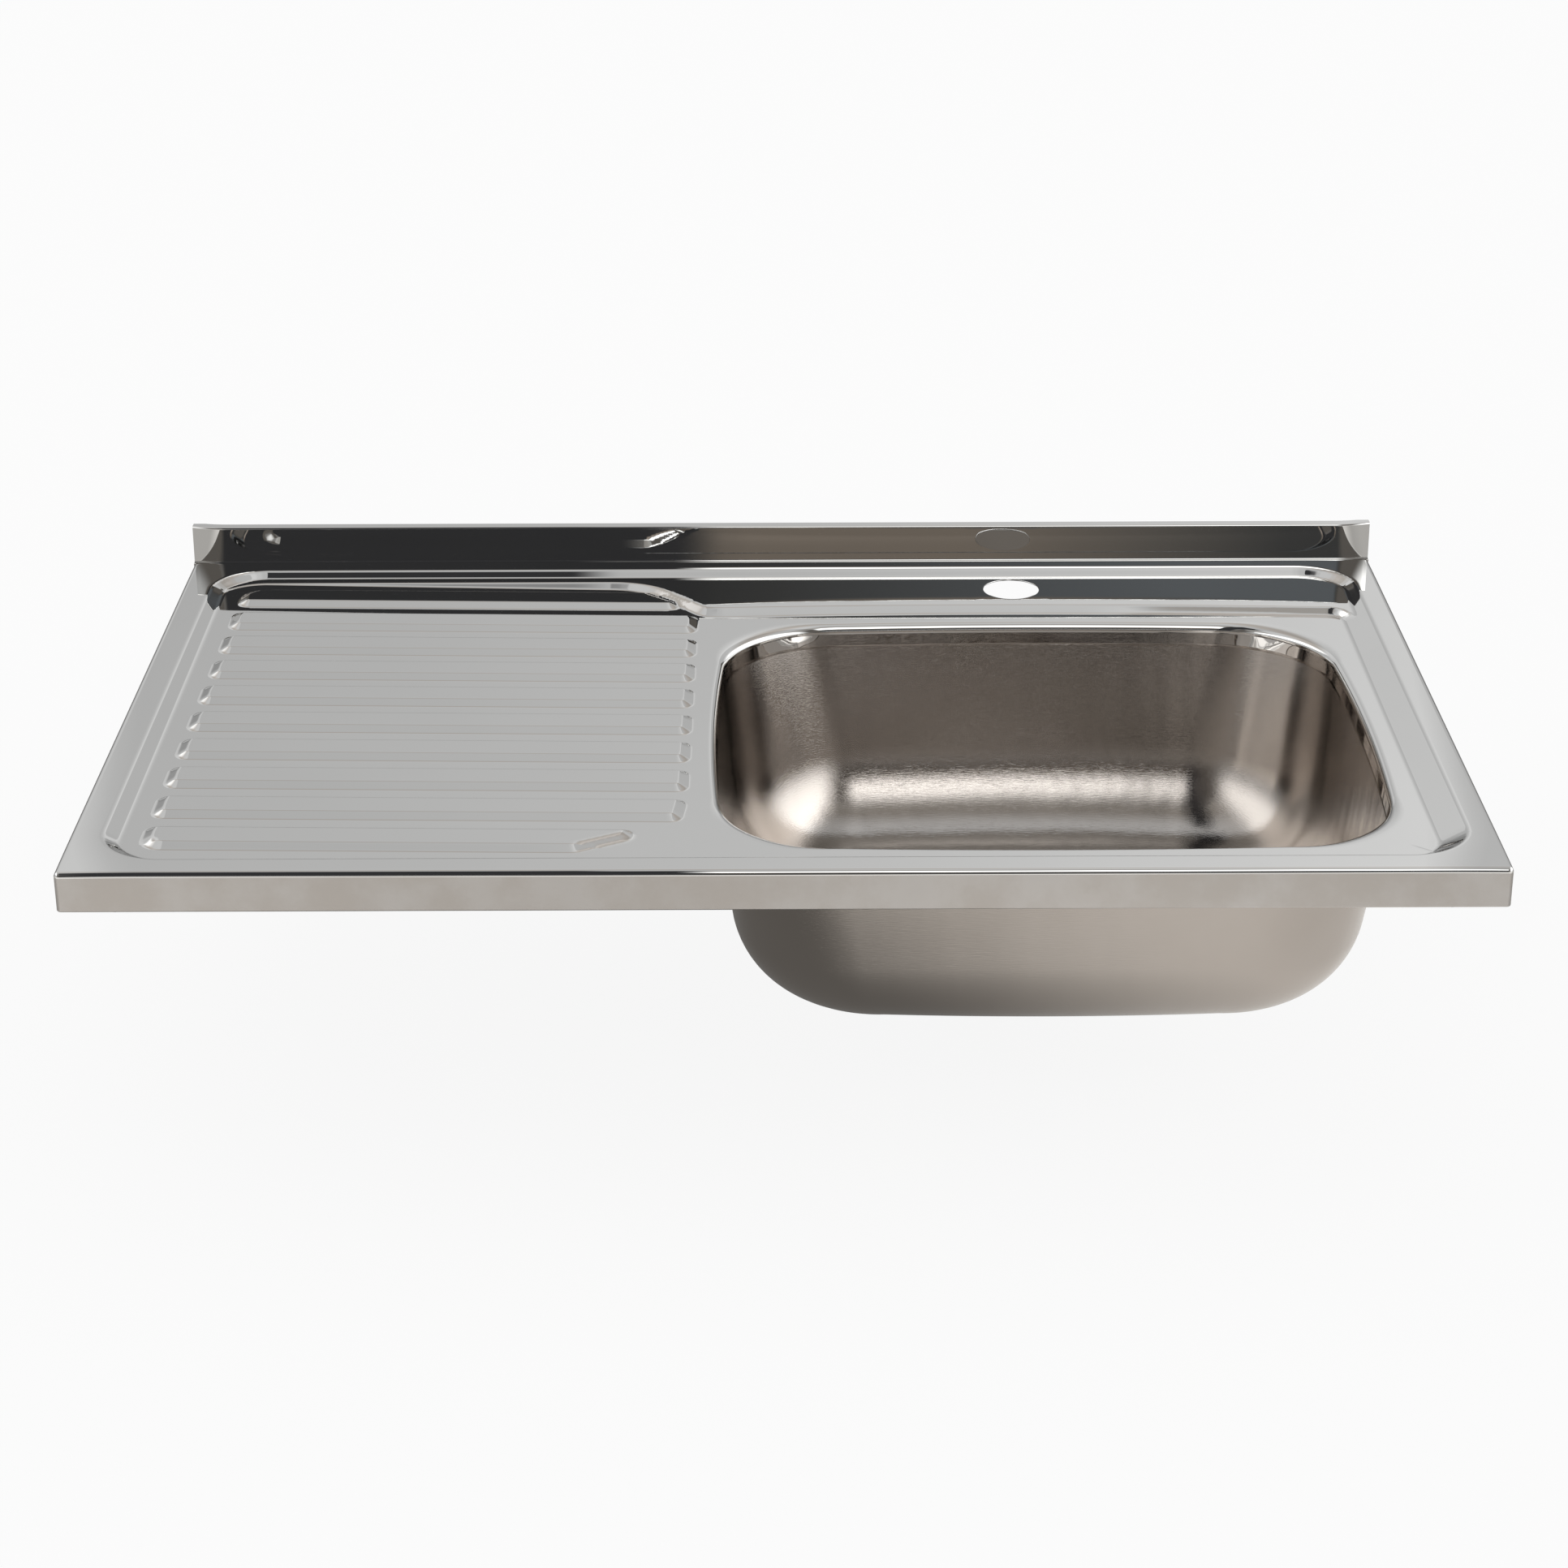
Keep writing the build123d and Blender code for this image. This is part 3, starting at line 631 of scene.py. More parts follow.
def at_angles(angles, loop, outward, centre):
    """The loop's points and outward directions, seen from its centre at the given angles."""
    own = np.arctan2(loop[:, 1] - centre[1], loop[:, 0] - centre[0])
    order = np.argsort(own)
    own = own[order]
    own = np.concatenate((own - 2 * pi, own, own + 2 * pi))
    columns = np.hstack((loop, outward))[order]
    columns = np.vstack((columns, columns, columns))
    found = np.stack([np.interp(angles, own, column) for column in columns.T], axis=1)
    return found[:, :2], found[:, 2:] / np.linalg.norm(found[:, 2:], axis=1)[:, None]


def rings_to(block, edge, outward, shares, roll, reach, foot):
    """Leads the net to an opening's edge, then rolls the sheet down round it."""
    ring = block_loop(block)
    start = top.places(ring)[:, :2]
    reach = np.broadcast_to(reach, len(ring))[:, None]
    rim = edge + outward * reach
    for share in shares:
        places = start + (rim - start) * share
        heights = top_height(places[:, 0], places[:, 1])
        following = top.add(np.column_stack((places, heights)))
        top.strip(ring, following, closed=True)
        ring = following
    level = top_height(rim[:, 0], rim[:, 1])
    for angle in np.linspace(0, pi / 2, 9)[1:]:
        places = edge + outward * reach * (1 - sin(angle))
        following = top.add(np.column_stack((places, level - roll * (1 - cos(angle)))))
        top.strip(ring, following, closed=True)
        ring = following
    following = top.add(np.column_stack((edge, np.full(len(edge), foot))))
    top.strip(ring, following, closed=True)


# %% The bowl's opening
def angles_round(block, x, y):
    """Angles at which the net's vertices round a block are seen from a point."""
    seen = top.places(block_loop(block))
    return np.arctan2(seen[:, 1] - y, seen[:, 0] - x)


bowl_angles = angles_round(bowl_hole, bowl_x, bowl_y)
bowl_edge, bowl_outward = at_angles(bowl_angles, opening_loop, opening_outward, (bowl_x, bowl_y))
cornering = ease(2 * np.abs(bowl_outward[:, 0] * bowl_outward[:, 1]))
bowl_reach = rim_roll + rim_roll_corners * cornering
bowl_shares = (0.25, 0.5, 0.75, 0.9, 1.0)
rings_to(bowl_hole, bowl_edge, bowl_outward, bowl_shares, rim_roll, bowl_reach, rim_foot)

# %% The tap hole
tap_angles = angles_round(tap_hole, tap_x, tap_y)
tap_outward = np.column_stack((np.cos(tap_angles), np.sin(tap_angles)))
tap_edge = np.array((tap_x, tap_y)) + tap_outward * tap_radius
tap_foot = ledge - sheet / 2
punched = 0.35
rings_to(tap_hole, tap_edge, tap_outward, (0.4, 0.7, 0.9, 1.0), punched, punched, tap_foot)
print("deck with openings:", len(top.faces), "faces")

# %% [markdown]
# ## The apron
#
# Along the front and the two sides the sheet folds down into an apron and in again as a lip,
# which rests on the cabinet. The outline of that fold is one short profile, swept along the
# deck's edge. Modifiers could bevel an extruded edge, but a profile also says where the polished
# finish ends and the plain rolled steel starts.

# %% The deck's edge, from the back left corner round the front to the back right one
corner_turns = np.linspace(0, pi / 2, 6)
chain = [(net[row, 0], (-1.0, 0.0)) for row in range(len(upward) - 1, 0, -1)]
chain += [(net[0, 0], (-cos(turn), -sin(turn))) for turn in corner_turns]
chain += [(number, (0.0, -1.0)) for number in net[0, 1:-1]]
chain += [(net[0, -1], (sin(turn), -cos(turn))) for turn in corner_turns]
chain += [(net[row, -1], (1.0, 0.0)) for row in range(1, len(upward))]
edge_ring = np.array([number for number, direction in chain])
edge_outward = np.array([direction for number, direction in chain])
edge_points = top.places(edge_ring)
print("edge:", len(edge_ring), "vertices")

# %% The apron and the lip that rests on the cabinet
POLISHED, ROLLED, UNDERSIDE = 0, 1, 2
polish_end = 0.4
fold_angles = np.linspace(0, pi / 2, 7)[1:]
lower_in = fold - lower_fold
lower_drop = lower_fold - border
apron_profile = [(fold * sin(angle), -fold * (1 - cos(angle)), POLISHED) for angle in fold_angles]
apron_profile.append((fold, -fold - polish_end, POLISHED))
apron_profile.append((fold, -border / 2, ROLLED))
apron_profile.append((fold, lower_drop, ROLLED))
apron_profile += [
    (lower_in + lower_fold * cos(angle), lower_drop - lower_fold * sin(angle), ROLLED)
    for angle in fold_angles
]
apron_profile.append((fold - seat_lip, -border, UNDERSIDE))

ring = edge_ring
apron_rings = []
for reach, drop, finish in apron_profile:
    places = edge_points[:, :2] + edge_outward * reach
    starts = edge_points[:, 2] if drop > -border / 2 else np.full(len(ring), border)
    following = top.add(np.column_stack((places, starts + drop)))
    top.strip(following, ring, finish)
    apron_rings.append(following)
    ring = following
print("deck with apron:", len(top.faces), "faces")

# %% [markdown]
# ## The upstand
#
# At the back the sheet stands up against the wall and ends in a lip and a hem. A real one is
# never quite flat: it leans and bows by less than a millimetre, and its two ends turn back by up
# to four where the shears let go. A mirror shows even that little, so it is made in the mesh. It
# is swept like the apron, along the net's last row.

# %% Profile of the upstand
foot_centre = (upstand_face - upstand_foot_bend, border + upstand_foot_bend)
foot_turns = np.linspace(0, pi / 2, 6)[1:]
bend_turns = np.linspace(0, pi / 2, 7)
upstand_profile = [
    (foot_centre[0] + upstand_foot_bend * sin(turn), foot_centre[1] - upstand_foot_bend * cos(turn))
    for turn in foot_turns
]
upstand_profile += [(upstand_face, border + level) for level in (4.0, 8.0, 12.0, 16.0, 20.0)]
upstand_profile.append((upstand_face, top_of_upstand - upstand_bend))
upstand_profile += [
    (upstand_face + upstand_bend * (1 - cos(turn)), top_of_upstand - upstand_bend * (1 - sin(turn)))
    for turn in bend_turns[1:]
]
upstand_profile += [
    (lip_back - upstand_bend * (1 - sin(turn)), top_of_upstand - upstand_bend * (1 - cos(turn)))
    for turn in bend_turns
]
upstand_profile.append((lip_back, top_of_upstand - upstand_hem))
print("upstand profile:", len(upstand_profile), "points")

# %% Sweep the upstand along the back
ends = np.concatenate(([-half_length], across, [half_length]))
foot_ends = top.add([(end, upward[-1], border) for end in (-half_length, half_length)])
ring = np.concatenate((foot_ends[:1], net[-1], foot_ends[1:]))
from_end = np.minimum(ends + half_length, half_length - ends)
for y, z in upstand_profile:
    rise = (z - border) / (top_of_upstand - border)
    moved = end_turn * np.maximum(1 - from_end / end_turn_run, 0) ** 2 * (0.5 + 0.5 * rise)
    moved -= (upstand_lean + upstand_bow * rise) * rise
    places = np.minimum(y + moved, lip_back)
    following = top.add(np.column_stack((ends, places, np.full(len(ends), z))))
    top.strip(ring, following)
    ring = following

# %% Close the small gaps between the upstand's foot and the apron's fold
for end, foot in ((0, foot_ends[0]), (-1, foot_ends[1])):
    rows = [net[-1, end]] + [following[end] for following in apron_rings[: len(fold_angles)]]
    for a, b in zip(rows[:-1], rows[1:]):
        corners = [int(foot), int(a), int(b)]
        top.faces.append(corners if end == 0 else corners[::-1])
        top.finish.append(POLISHED)
print("whole top:", len(top.faces), "faces")

# %% [markdown]
# ## The skin of the bowl
#
# The bowl is drawn from one sheet. Its wall runs straight from the opening to a smaller outline
# on the floor, whose corners are rounder, and a large radius joins wall and floor. At each point
# of the outline that radius is a circle that touches both, so every row of vertices can be
# written down directly. A subdivided box would look soft too, but its radius couldn't be named.

# %% Outlines at the rim and on the floor
bowl_height = rim_foot - bowl_floor
draw_in = bowl_height * tan(wall_draft)
bowl_counts = (20, 30, 18)
rim_loop = bowl_loop(bowl_counts)[0]
floor_loop, floor_outward = bowl_loop(bowl_counts, -draw_in, floor_corner, floor_bow)
lean = rim_loop - floor_loop
leaning = (lean * floor_outward).sum(1)
sideways = lean - floor_outward * leaning[:, None]
draft = np.arctan2(leaning, bowl_height)
tangent = floor_radius * (1 - np.sin(draft)) / np.cos(draft)
start_height = floor_radius * (1 - np.sin(draft))
print("floor", np.ptp(floor_loop, axis=0).round(1), "mm, bowl", round(bowl_height, 1), "mm high")


# %% Wall, radius and floor
def bowl_row(rise, inset):
    """One row of the bowl: heights above the floor and insets from the floor's outline."""
    rise = np.broadcast_to(rise, len(rim_loop))
    places = floor_loop - floor_outward * np.broadcast_to(inset, len(rim_loop))[:, None]
    places = places + sideways * (rise / bowl_height)[:, None]
    return np.column_stack((places, bowl_floor + rise))


rows = []
for share in np.linspace(0, 1, 12)[:-1]:
    rise = bowl_height + (start_height - bowl_height) * share
    rows.append(bowl_row(rise, -rise * np.tan(draft)))
for share in np.linspace(1, 0, 20):
    angle = (pi / 2 - draft) * share
    rows.append(bowl_row(floor_radius * (1 - np.cos(angle)), tangent - floor_radius * np.sin(angle)))

bowl = Skin()
ring = bowl.add(rows[0])
for row in rows[1:]:
    following = bowl.add(row)
    bowl.strip(following, ring, closed=True)
    ring = following
print("bowl:", len(bowl.faces), "faces")

# %% [markdown]
# ## The outlet
#
# Round the outlet the floor is pressed down, so that the waste's flange lies flush and the water
# leaves the bowl. The floor's last row leads in rings to that round seat and on to the hole.
# The hole lies under the flange, so it needs no rolled edge.

# %% The outlet's seat in the bowl floor
seat_radius, seat_depth, hole_radius = 59.0, 2.6, 45.0
seat_slope = 2.0
outlet = np.array((outlet_x, outlet_y))
flat = rows[-1][:, :2]
bearing = np.arctan2(flat[:, 1] - outlet_y, flat[:, 0] - outlet_x)
spokes = np.column_stack((np.cos(bearing), np.sin(bearing)))
seat_edge = outlet + spokes * (seat_radius + seat_slope / 2)


def outlet_ring(ring, places, height):
    """Adds one ring of vertices at a height, and the faces that lead to it."""
    following = bowl.add(np.column_stack((places, np.full(len(flat), height))))
    bowl.strip(following, ring, closed=True)
    return following


for share in (0.3, 0.6, 0.85, 1.0):
    ring = outlet_ring(ring, flat + (seat_edge - flat) * share, bowl_floor)
for step in np.linspace(0, 1, 7)[1:]:
    radius = seat_radius + seat_slope / 2 - seat_slope * step
    ring = outlet_ring(ring, outlet + spokes * radius, bowl_floor - seat_depth * ease(step))
outlet_ring(ring, outlet + spokes * hole_radius, bowl_floor - seat_depth)
print("bowl with outlet:", len(bowl.faces), "faces")

# %% [markdown]
# ## Shader sums
#
# A finish is easier to read as a sum than as a list of nodes and links. This small class wraps
# one socket: +, -, * and / on it add the Math nodes. Every other node comes from its method
# `node`, which takes the node's type, its settings, and what its sockets hold.


# %% Sums of sockets
class Wire:
    """A socket of a node tree that takes part in sums."""

    def __init__(self, tree, socket=None):
        self.tree = tree
        self.socket = socket

    def node(self, kind, settings=(), inputs=(), output=0):
        """Adds a node: its settings first, then the values or links of its sockets."""
        added = self.tree.nodes.new(kind)
        for name, setting in dict(settings).items():
            if name == "stops":
                elements = added.color_ramp.elements
                while len(elements) < len(setting):
                    elements.new(0.5)
                for element, (place, colour) in zip(elements, setting):
                    element.position = place
                    element.color = (*colour, 1.0)
            else:
                setattr(added, name, setting)
        for name, given in dict(inputs).items():
            if isinstance(given, Wire):
                self.tree.links.new(given.socket, added.inputs[name])
            else:
                added.inputs[name].default_value = given
        return Wire(self.tree, added.outputs[output] if added.outputs else None)

    def math(self, operation, *values):
        """A Math node on this socket and up to two more values."""
        return self.node("ShaderNodeMath", {"operation": operation}, enumerate((self, *values)))

    def __add__(self, other):
        return self.math("ADD", other)

    __radd__ = __add__

    def __sub__(self, other):
        return self.math("SUBTRACT", other)

    def __rsub__(self, other):
        return self.node("ShaderNodeMath", {"operation": "SUBTRACT"}, {0: other, 1: self})

    def __mul__(self, other):
        return self.math("MULTIPLY", other)

    __rmul__ = __mul__

    def __truediv__(self, other):
        return self.math("DIVIDE", other)

    def __rtruediv__(self, other):
        return self.node("ShaderNodeMath", {"operation": "DIVIDE"}, {0: other, 1: self})

    def between(self, low, high):
        """0 below low, 1 above high and soft in between."""
        inputs = {"Value": self, "From Min": low, "From Max": high}
        return self.node("ShaderNodeMapRange", {"interpolation_type": "SMOOTHSTEP"}, inputs)

    def part(self, axis):
        """One part of a vector: 0 for x, 1 for y, 2 for z."""
        return self.node("ShaderNodeSeparateXYZ", {}, {0: self}, output=axis)


# %% Starting and ending a material
def new_material(name):
    """An empty material with a wire to start from."""
    material = bpy.data.materials.new(name)
    material.use_nodes = True
    material.node_tree.nodes.clear()
    return material, Wire(material.node_tree)


def finish_with(start, **inputs):
    """Ends a material with one Principled shader."""
    named = {name.replace("_", " "): given for name, given in inputs.items()}
    shader = start.node("ShaderNodeBsdfPrincipled", {}, named)
    start.node("ShaderNodeOutputMaterial", {}, {"Surface": shader})


def mixed(start, factor, first, second, blend="MIX"):
    """A colour between two, or their product."""
    inputs = {"Factor": factor, 6: first, 7: second}
    return start.node("ShaderNodeMix", {"data_type": "RGBA", "blend_type": blend}, inputs, output=2)


# %% Noise helpers
def coordinates(start, scale):
    """The piece's own coordinates, stretched by three factors."""
    place = start.node("ShaderNodeTexCoord", output=3)
    return start.node("ShaderNodeMapping", {}, {"Vector": place, "Scale": scale})


def noise(start, scale, size, detail=3.0):
    """Stretched noise from 0 to 1; size is the number of spots in a metre."""
    inputs = {"Vector": coordinates(start, scale), "Scale": size, "Detail": detail, "Roughness": 0.55}
    return start.node("ShaderNodeTexNoise", {}, inputs)


def bump(start, height, distance, under=None):
    """Turns a height from 0 to 1, worth a distance in metres, into a normal."""
    inputs = {"Height": height, "Distance": distance}
    if under:
        inputs["Normal"] = under
    return start.node("ShaderNodeBump", {}, inputs)


# %% [markdown]
# ## Polished steel
#
# The pressed top is buffed to a mirror. Steel is all reflection: a metallic shader with little
# roughness. What makes it steel and not chrome is fine work in the roughness and the normal:
# buffing lines along the sink, long soft waves left by the press, and a faint haze. A picture of
# brushed steel would repeat and stretch, while noise in the piece's own coordinates doesn't.


# %% Polished steel
def polished_steel():
    """The pressed top: buffed to a mirror, with soft waves from the press."""
    material, start = new_material("polished steel")
    haze = noise(start, (1, 1, 1), 9.0)
    buffing = noise(start, (1, 14, 1), 60.0, 4.0)
    waves = noise(start, (1, 1.6, 1), 7.0, 1.0)
    colour = mixed(start, haze, (0.80, 0.80, 0.79, 1), (0.84, 0.84, 0.83, 1))
    normal = bump(start, waves, 0.00006, bump(start, buffing, 0.000001))
    finish_with(start, Base_Color=colour, Metallic=1.0, Roughness=haze * 0.02 + 0.008, Normal=normal)
    return material


# %% [markdown]
# ## Satin steel
#
# The bowl is drawn deep and brushed along its length, which leaves it darker and warmer than the
# top. Drawing also leaves upright streaks in its wall. Right under the rim runs a polished band.
# The flat floor is painted lighter than the wall: painted light on the floor that faces the
# ceiling. All of it is one material with masks by height, so the finishes and the painted light
# blend, and no seam shows where they meet.


# %% Satin steel
def satin_steel():
    """The bowl: drawn and brushed along its length."""
    material, start = new_material("satin steel")
    brushed = noise(start, (1, 6, 30), 120.0, 3.0)
    streaks = noise(start, (1, 1, 0.08), 26.0, 2.0)
    swirls = noise(start, (1, 1, 1.5), 20.0, 1.0)
    cloud = noise(start, (1, 1, 1), 14.0)
    height = start.node("ShaderNodeTexCoord", output=3).part(2)
    rim_band = height.between((rim_foot - 9.0) * MM, (rim_foot - 7.0) * MM)
    # Painted light: the flat floor of the bowl gets a lighter colour than the wall.
    painted_floor_light = 1 - height.between((bowl_floor + 1) * MM, (bowl_floor + 14) * MM)
    colour = mixed(start, cloud, (0.47, 0.43, 0.395, 1), (0.52, 0.485, 0.45, 1))
    colour = mixed(start, rim_band, colour, (0.66, 0.63, 0.60, 1))
    colour = mixed(start, painted_floor_light, colour, (0.59, 0.575, 0.56, 1))
    normal = bump(start, streaks, 0.0006)
    normal = bump(start, brushed * (1 - rim_band), 0.00007, normal)
    normal = bump(start, swirls * rim_band, 0.0005, normal)
    roughness = (brushed * 0.07 + 0.055) * (1 - rim_band * 0.8)
    finish_with(start, Base_Color=colour, Metallic=1.0, Roughness=roughness, Normal=normal)
    return material


# %% [markdown]
# ## Rolled steel and other metals
#
# The apron is left as it came from the rolling mill: a warm grey with cloudy spots, much rougher
# than the top. The basket, the clips, the brass insert and the top's underside are small or
# mostly hidden, so they share one finish with a fine grain and a cloud. Only its colour and its
# roughness differ, and one function says that more plainly than a material for each.


# %% Rolled steel and plain metals
def apron_steel():
    """The apron: left as rolled, a warm grey with faint cloudy spots."""
    material, start = new_material("apron steel")
    cloud = noise(start, (1, 1, 1), 22.0, 5.0)
    grain = noise(start, (1, 1, 1), 900.0, 2.0)
    colour = mixed(start, cloud.between(0.35, 0.65), (0.56, 0.53, 0.50, 1), (0.64, 0.62, 0.60, 1))
    normal = bump(start, grain, 0.00003)
    finish_with(start, Base_Color=colour, Metallic=1.0, Roughness=cloud * 0.12 + 0.3, Normal=normal)
    return material


def plain_metal(name, colour, roughness):
    """Metal parts as they come from the press or the lathe."""
    material, start = new_material(name)
    grain = noise(start, (1, 1, 1), 500.0, 2.0)
    cloud = noise(start, (1, 1, 1), 60.0)
    darker = tuple(0.9 * part for part in colour)
    shade = mixed(start, cloud, (*darker, 1), (*colour, 1))
    normal = bump(start, grain, 0.00002)
    finish_with(start, Base_Color=shade, Metallic=1.0, Roughness=cloud * 0.08 + roughness, Normal=normal)
    return material


# %% [markdown]
# ## Rubber, plastic and the damping pad
#
# Seals, stopper, waste body and the pad under the bowl aren't metal. They differ in colour, in
# roughness and in how coarse their grain is, so one function with those values makes them all.


# %% Rubber, plastic and pad
def soft_finish(name, colour, roughness, grain_size, depth):
    """A matt finish that isn't metal."""
    material, start = new_material(name)
    grain = noise(start, (1, 1, 1), grain_size, 3.0)
    darker = tuple(0.8 * part for part in colour)
    shade = mixed(start, grain, (*darker, 1), (*colour, 1))
    finish_with(start, Base_Color=shade, Roughness=grain * 0.15 + roughness, Normal=bump(start, grain, depth))
    return material


# %% All finishes, and each solid's own
finishes = {
    "polished_steel": polished_steel(),
    "satin_steel": satin_steel(),
    "bright_steel": plain_metal("bright steel", (0.78, 0.77, 0.76), 0.14),
    "spring_steel": plain_metal("zinc plated steel", (0.62, 0.63, 0.66), 0.32),
    "damping_pad": soft_finish("damping pad", (0.05, 0.05, 0.055), 0.7, 300.0, 0.0002),
    "rubber": soft_finish("rubber", (0.03, 0.03, 0.03), 0.5, 700.0, 0.00004),
    "moulded_plastic": soft_finish("moulded plastic", (0.8, 0.8, 0.78), 0.35, 500.0, 0.00003),
    "brass": plain_metal("brass", (0.78, 0.6, 0.3), 0.22),
}
rolled = apron_steel()
mill = plain_metal("mill finish steel", (0.55, 0.54, 0.53), 0.36)

for part in frame["record"]["subparts"]:
    piece = frame["nodes"][part["node"]]
    piece.data.materials.clear()
    piece.data.materials.append(finishes[part["material_slot"]])

# %% [markdown]
# ## The two skins in place
#
# Each skin stands for its solid: it rides on the same body and takes the same finish. The side
# of the sheet that nobody buffs, under the top, gets the mill's grey. The bowl is satin on both
# sides.

# %% Put the two skins in place
top_skin = top.build("pressed_top", [finishes["polished_steel"], rolled, mill], sheet, 2)
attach(top_skin, "sink")
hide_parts("sink_top")

bowl_skin = bowl.build("drawn_bowl", [finishes["satin_steel"]], sheet, 0)
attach(bowl_skin, "sink")
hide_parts("bowl")

# %% [markdown]
# ## Studio
#
# A mirror finish shows the room, so the room is most of the look. Walls and lamps could be
# built, but each would also light the floor, so the room is painted into the world instead. The
# camera itself sees plain white. What reflections see is described by one angle: it counts from
# the horizon behind the sink, 0 degrees, over the ceiling at 90, to the horizon in front, 180.
# A ramp along that angle gives the ceiling, with one bright soft box in front of the sink.

# %% Directions in the room
world = bpy.context.scene.world or bpy.data.worlds.new("studio")
bpy.context.scene.world = world
world.use_nodes = True
world.node_tree.nodes.clear()
room_start = Wire(world.node_tree)
direction = room_start.node("ShaderNodeTexCoord", output=0)
to_right, to_back, to_top = [direction.part(axis) for axis in range(3)]
over = to_top.math("ARCTAN2", to_back) / pi
from_left = to_right * 0.5 + 0.5
sidewards = to_right.math("ABSOLUTE")


def ramp(place, *stops):
    """Greys or colours along a line."""
    stops = [(at, colour if isinstance(colour, tuple) else (colour,) * 3) for at, colour in stops]
    return room_start.node("ShaderNodeValToRGB", {"stops": stops}, {"Fac": place})


def past(first, last):
    """0 where the room's angle is under the first, 1 over the last, both in degrees."""
    return over.between(first / 180, last / 180)


def painted(factor, first, second):
    """Two parts of the room, or a part and a colour, blended by a factor."""
    return mixed(room_start, factor, first, second)


# %% Ceiling and soft box
ceiling_stops = (
    (6, 0.26),
    (15, 0.54),
    (20, 0.545),
    (24, 0.58),
    (34, 0.62),
    (46, (0.43, 0.40, 0.37)),
    (58, (0.50, 0.46, 0.43)),
    (68, 0.55),
    (84, 0.57),
    (91, 0.48),
    (99, (0.34, 0.32, 0.30)),
    (108, (0.36, 0.35, 0.33)),
    (118, 0.70),
    (126, 1.90),
    (143, 2.00),
    (148, (0.24, 0.22, 0.20)),
)
ceiling = ramp(over, *[(angle / 180, colour) for angle, colour in ceiling_stops])
rightward = ramp(
    from_left,
    (0.395, 1.13),
    (0.404, 0.88),
    (0.45, 0.92),
    (0.50, 1.0),
    (0.54, 1.10),
    (0.594, 1.28),
    (0.604, 0.92),
)
ceiling = mixed(room_start, 1.0, ceiling, rightward, "MULTIPLY")

# %% [markdown]
# ## Front wall
#
# The upstand and the tap ledge, by way of the upstand, reflect the wall behind the camera. It is
# dark, with a warm and lighter patch a little right of the middle. Three ramps from left to right
# describe it at three heights, and they are blended from one to the next.

# %% Front wall
warm = (0.19, 0.16, 0.133)
high_front = ramp(
    from_left,
    (0.478, 0.035),
    (0.484, 0.06),
    (0.494, warm),
    (0.53, warm),
    (0.555, (0.11, 0.10, 0.09)),
    (0.575, 0.05),
)
upper_front = ramp(
    from_left,
    (0.478, 0.015),
    (0.484, 0.03),
    (0.494, (0.39, 0.33, 0.28)),
    (0.53, (0.36, 0.31, 0.27)),
    (0.555, (0.21, 0.19, 0.17)),
    (0.577, 0.06),
)
low_front = ramp(
    from_left,
    (0.385, 0.60),
    (0.40, 0.015),
    (0.46, 0.015),
    (0.50, 0.05),
    (0.56, (0.12, 0.13, 0.14)),
    (0.60, (0.11, 0.12, 0.13)),
    (0.625, 0.02),
)
front_wall = painted(past(154.2, 156.4), upper_front, high_front)
front_wall = painted(past(159.5, 162.5), front_wall, low_front)
front_wall = painted(past(167, 171), front_wall, (0.015, 0.015, 0.015, 1))
room = painted(past(146, 153), ceiling, front_wall)

# %% [markdown]
# ## Dark beams and side walls
#
# Two dark beams under the ceiling give the press slopes at the back left their dark lines. The
# side walls are bright: they light the ends of the bowl. A dark gap next to the soft box keeps
# the bright bands in the bowl's corners apart, as in the photograph.

# %% Dark beams and side walls
beam_colour = (0.035, 0.035, 0.037, 1)
for first, last, beam_end in ((76, 84, -0.06), (92, 100, -0.03)):
    beam = past(first, last) * (1 - to_right.between(beam_end, beam_end + 0.015))
    room = painted(beam * to_right.between(-0.30, -0.20), room, beam_colour)
right_side = ramp(to_top, (0.2, 1.0), (0.45, 1.9), (0.8, 2.6), (0.95, 1.4))
left_side = ramp(to_top, (0.2, 0.5), (0.42, 0.5), (0.52, 1.6), (0.75, 1.8), (0.9, 0.6))
sides = painted(to_right.between(-0.1, 0.1), left_side, right_side)
gap = past(112, 118) * sidewards.between(0.20, 0.28)
room = painted(gap, room, (0.12, 0.11, 0.10, 1))
room = painted(sidewards.between(0.40, 0.62), room, sides)

# %% What each kind of ray sees of the room
plain_light = (0.8, 0.8, 0.8, 1)
white = (1, 1, 1, 1)
camera_ray = room_start.node("ShaderNodeLightPath", output="Is Camera Ray")
glossy_ray = room_start.node("ShaderNodeLightPath", output="Is Glossy Ray")
shown = painted(camera_ray, painted(glossy_ray, plain_light, room), white)
background = room_start.node("ShaderNodeBackground", {}, {"Color": shown, "Strength": 1.0})
room_start.node("ShaderNodeOutputWorld", {}, {"Surface": background})
print("room:", len(world.node_tree.nodes), "nodes")

# %% [markdown]
# ## Floor
#
# The sink stands on a white floor that keeps its shadow. A real floor is darker under the
# drainboard, and the outside of the bowl reflects that. The light here is even and would leave
# it pale, so what a glossy ray sees of the floor is painted too: darker under the board, behind
# the sink, in front of it and beside it.

# %% The floor's mesh
floor_drop = 0.0005
floor_reach = 9.0
floor_corners = [(x * floor_reach, y * floor_reach, 0) for x, y in ((-1, -1), (1, -1), (1, 1), (-1, 1))]
floor_mesh = bpy.data.meshes.new("floor")
floor_mesh.from_pydata(floor_corners, [], [(0, 1, 2, 3)])
floor = bpy.data.objects.new("floor", floor_mesh)
floor.location.z = cad_box[0].z - floor_drop
bpy.context.scene.collection.objects.link(floor)

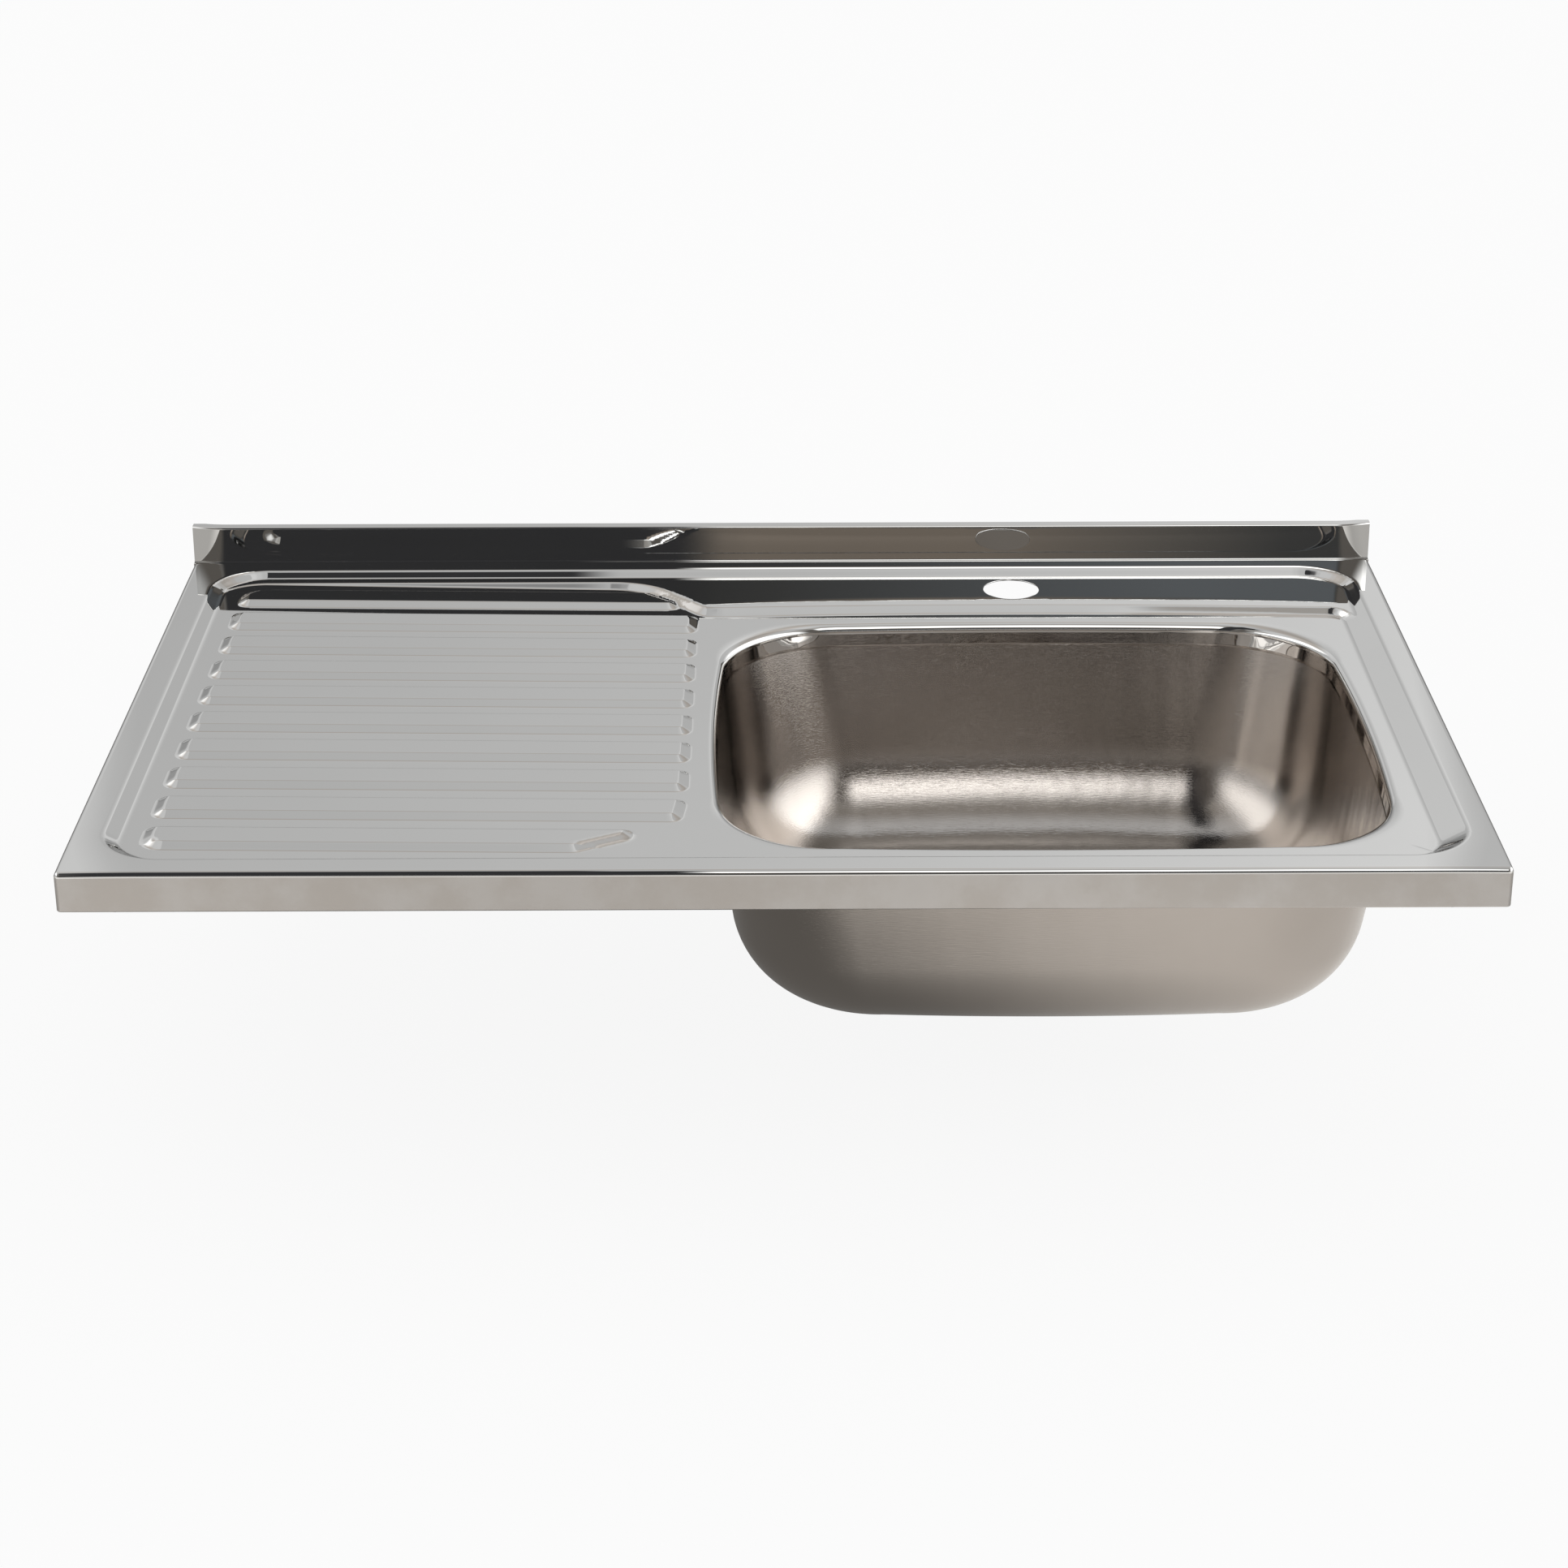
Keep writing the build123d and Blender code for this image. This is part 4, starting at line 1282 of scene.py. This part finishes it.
# %% What glossy rays see of the floor
floor_material, floor_start = new_material("floor")
floor_place = floor_start.node("ShaderNodeTexCoord", output=3)
floor_x, floor_y = [floor_place.part(axis) for axis in range(2)]
board_x, board_y = -0.15, 0.2
off_x, off_y = floor_x - board_x, floor_y - board_y
from_board = (off_x * off_x + off_y * off_y).math("SQRT")
off_middle = floor_x.math("ABSOLUTE")
in_front = (1 - floor_y.between(-1.0, -0.8)) * (1 - off_middle.between(0.5, 0.8))
beside = off_middle.between(0.52, 0.66) * floor_y.between(-0.45, -0.25)
behind = floor_y.between(0.35, 0.5)
shade = 0.18 + 0.72 * from_board.between(0.22, 0.56)
shade = shade - 0.12 * floor_x.between(0.25, 0.5) + 0.16 * floor_x.between(0.55, 0.8)
shade = shade * (1 - 0.9 * in_front) * (1 - 0.5 * beside) * (1 - 0.65 * behind)
warm_tint = {"Red": shade, "Green": shade * 0.97, "Blue": shade * 0.93}
tint = floor_start.node("ShaderNodeCombineColor", {}, warm_tint)

# %% The floor's material
backdrop_share = 0.9
diffuse = floor_start.node("ShaderNodeBsdfDiffuse", {}, {"Color": (0.86, 0.86, 0.86, 1)})
backdrop = floor_start.node("ShaderNodeEmission", {}, {"Color": white, "Strength": 1.0})
reflected = floor_start.node("ShaderNodeEmission", {}, {"Color": tint, "Strength": 1.0})
camera_ray = floor_start.node("ShaderNodeLightPath", output="Is Camera Ray")
glossy_ray = floor_start.node("ShaderNodeLightPath", output="Is Glossy Ray")
painted_white = {0: camera_ray * backdrop_share, 1: diffuse, 2: backdrop}
surface = floor_start.node("ShaderNodeMixShader", {}, painted_white)
surface = floor_start.node("ShaderNodeMixShader", {}, {0: glossy_ray, 1: surface, 2: reflected})
floor_start.node("ShaderNodeOutputMaterial", {}, {"Surface": surface})
floor_mesh.materials.append(floor_material)
print("floor at", round(floor.location.z, 4), "m")

# %% [markdown]
# ## Camera
#
# The photograph was taken from in front and above, with a long lens. The camera's place was
# fitted to the four corners of the deck. It is built from three directions, because an almost
# level camera with a slight roll is easier to read that way than as angles about three axes.

# %% Camera
eye = Vector((-0.004, -1.690, 0.810))
yaw, pitch, roll = radians(0.14), radians(23.56), radians(-0.15)
forward = Vector((sin(yaw) * cos(pitch), cos(yaw) * cos(pitch), -sin(pitch)))
right = Vector((cos(yaw), -sin(yaw), 0))
up = right.cross(forward)
turned_right = right * cos(roll) + up * sin(roll)
turned_up = up * cos(roll) - right * sin(roll)
turned = Matrix((turned_right, turned_up, -forward)).transposed()
camera_data = bpy.data.cameras.new("camera")
camera_data.sensor_width = 36.0
camera_data.lens = 78.0
camera_data.clip_end = 50.0
camera = bpy.data.objects.new("camera", camera_data)
camera.matrix_world = Matrix.Translation(eye) @ turned.to_4x4()
bpy.context.scene.collection.objects.link(camera)
bpy.context.scene.camera = camera
bpy.context.scene.view_settings.view_transform = "Standard"
print("camera at", tuple(round(value, 3) for value in eye), "m")
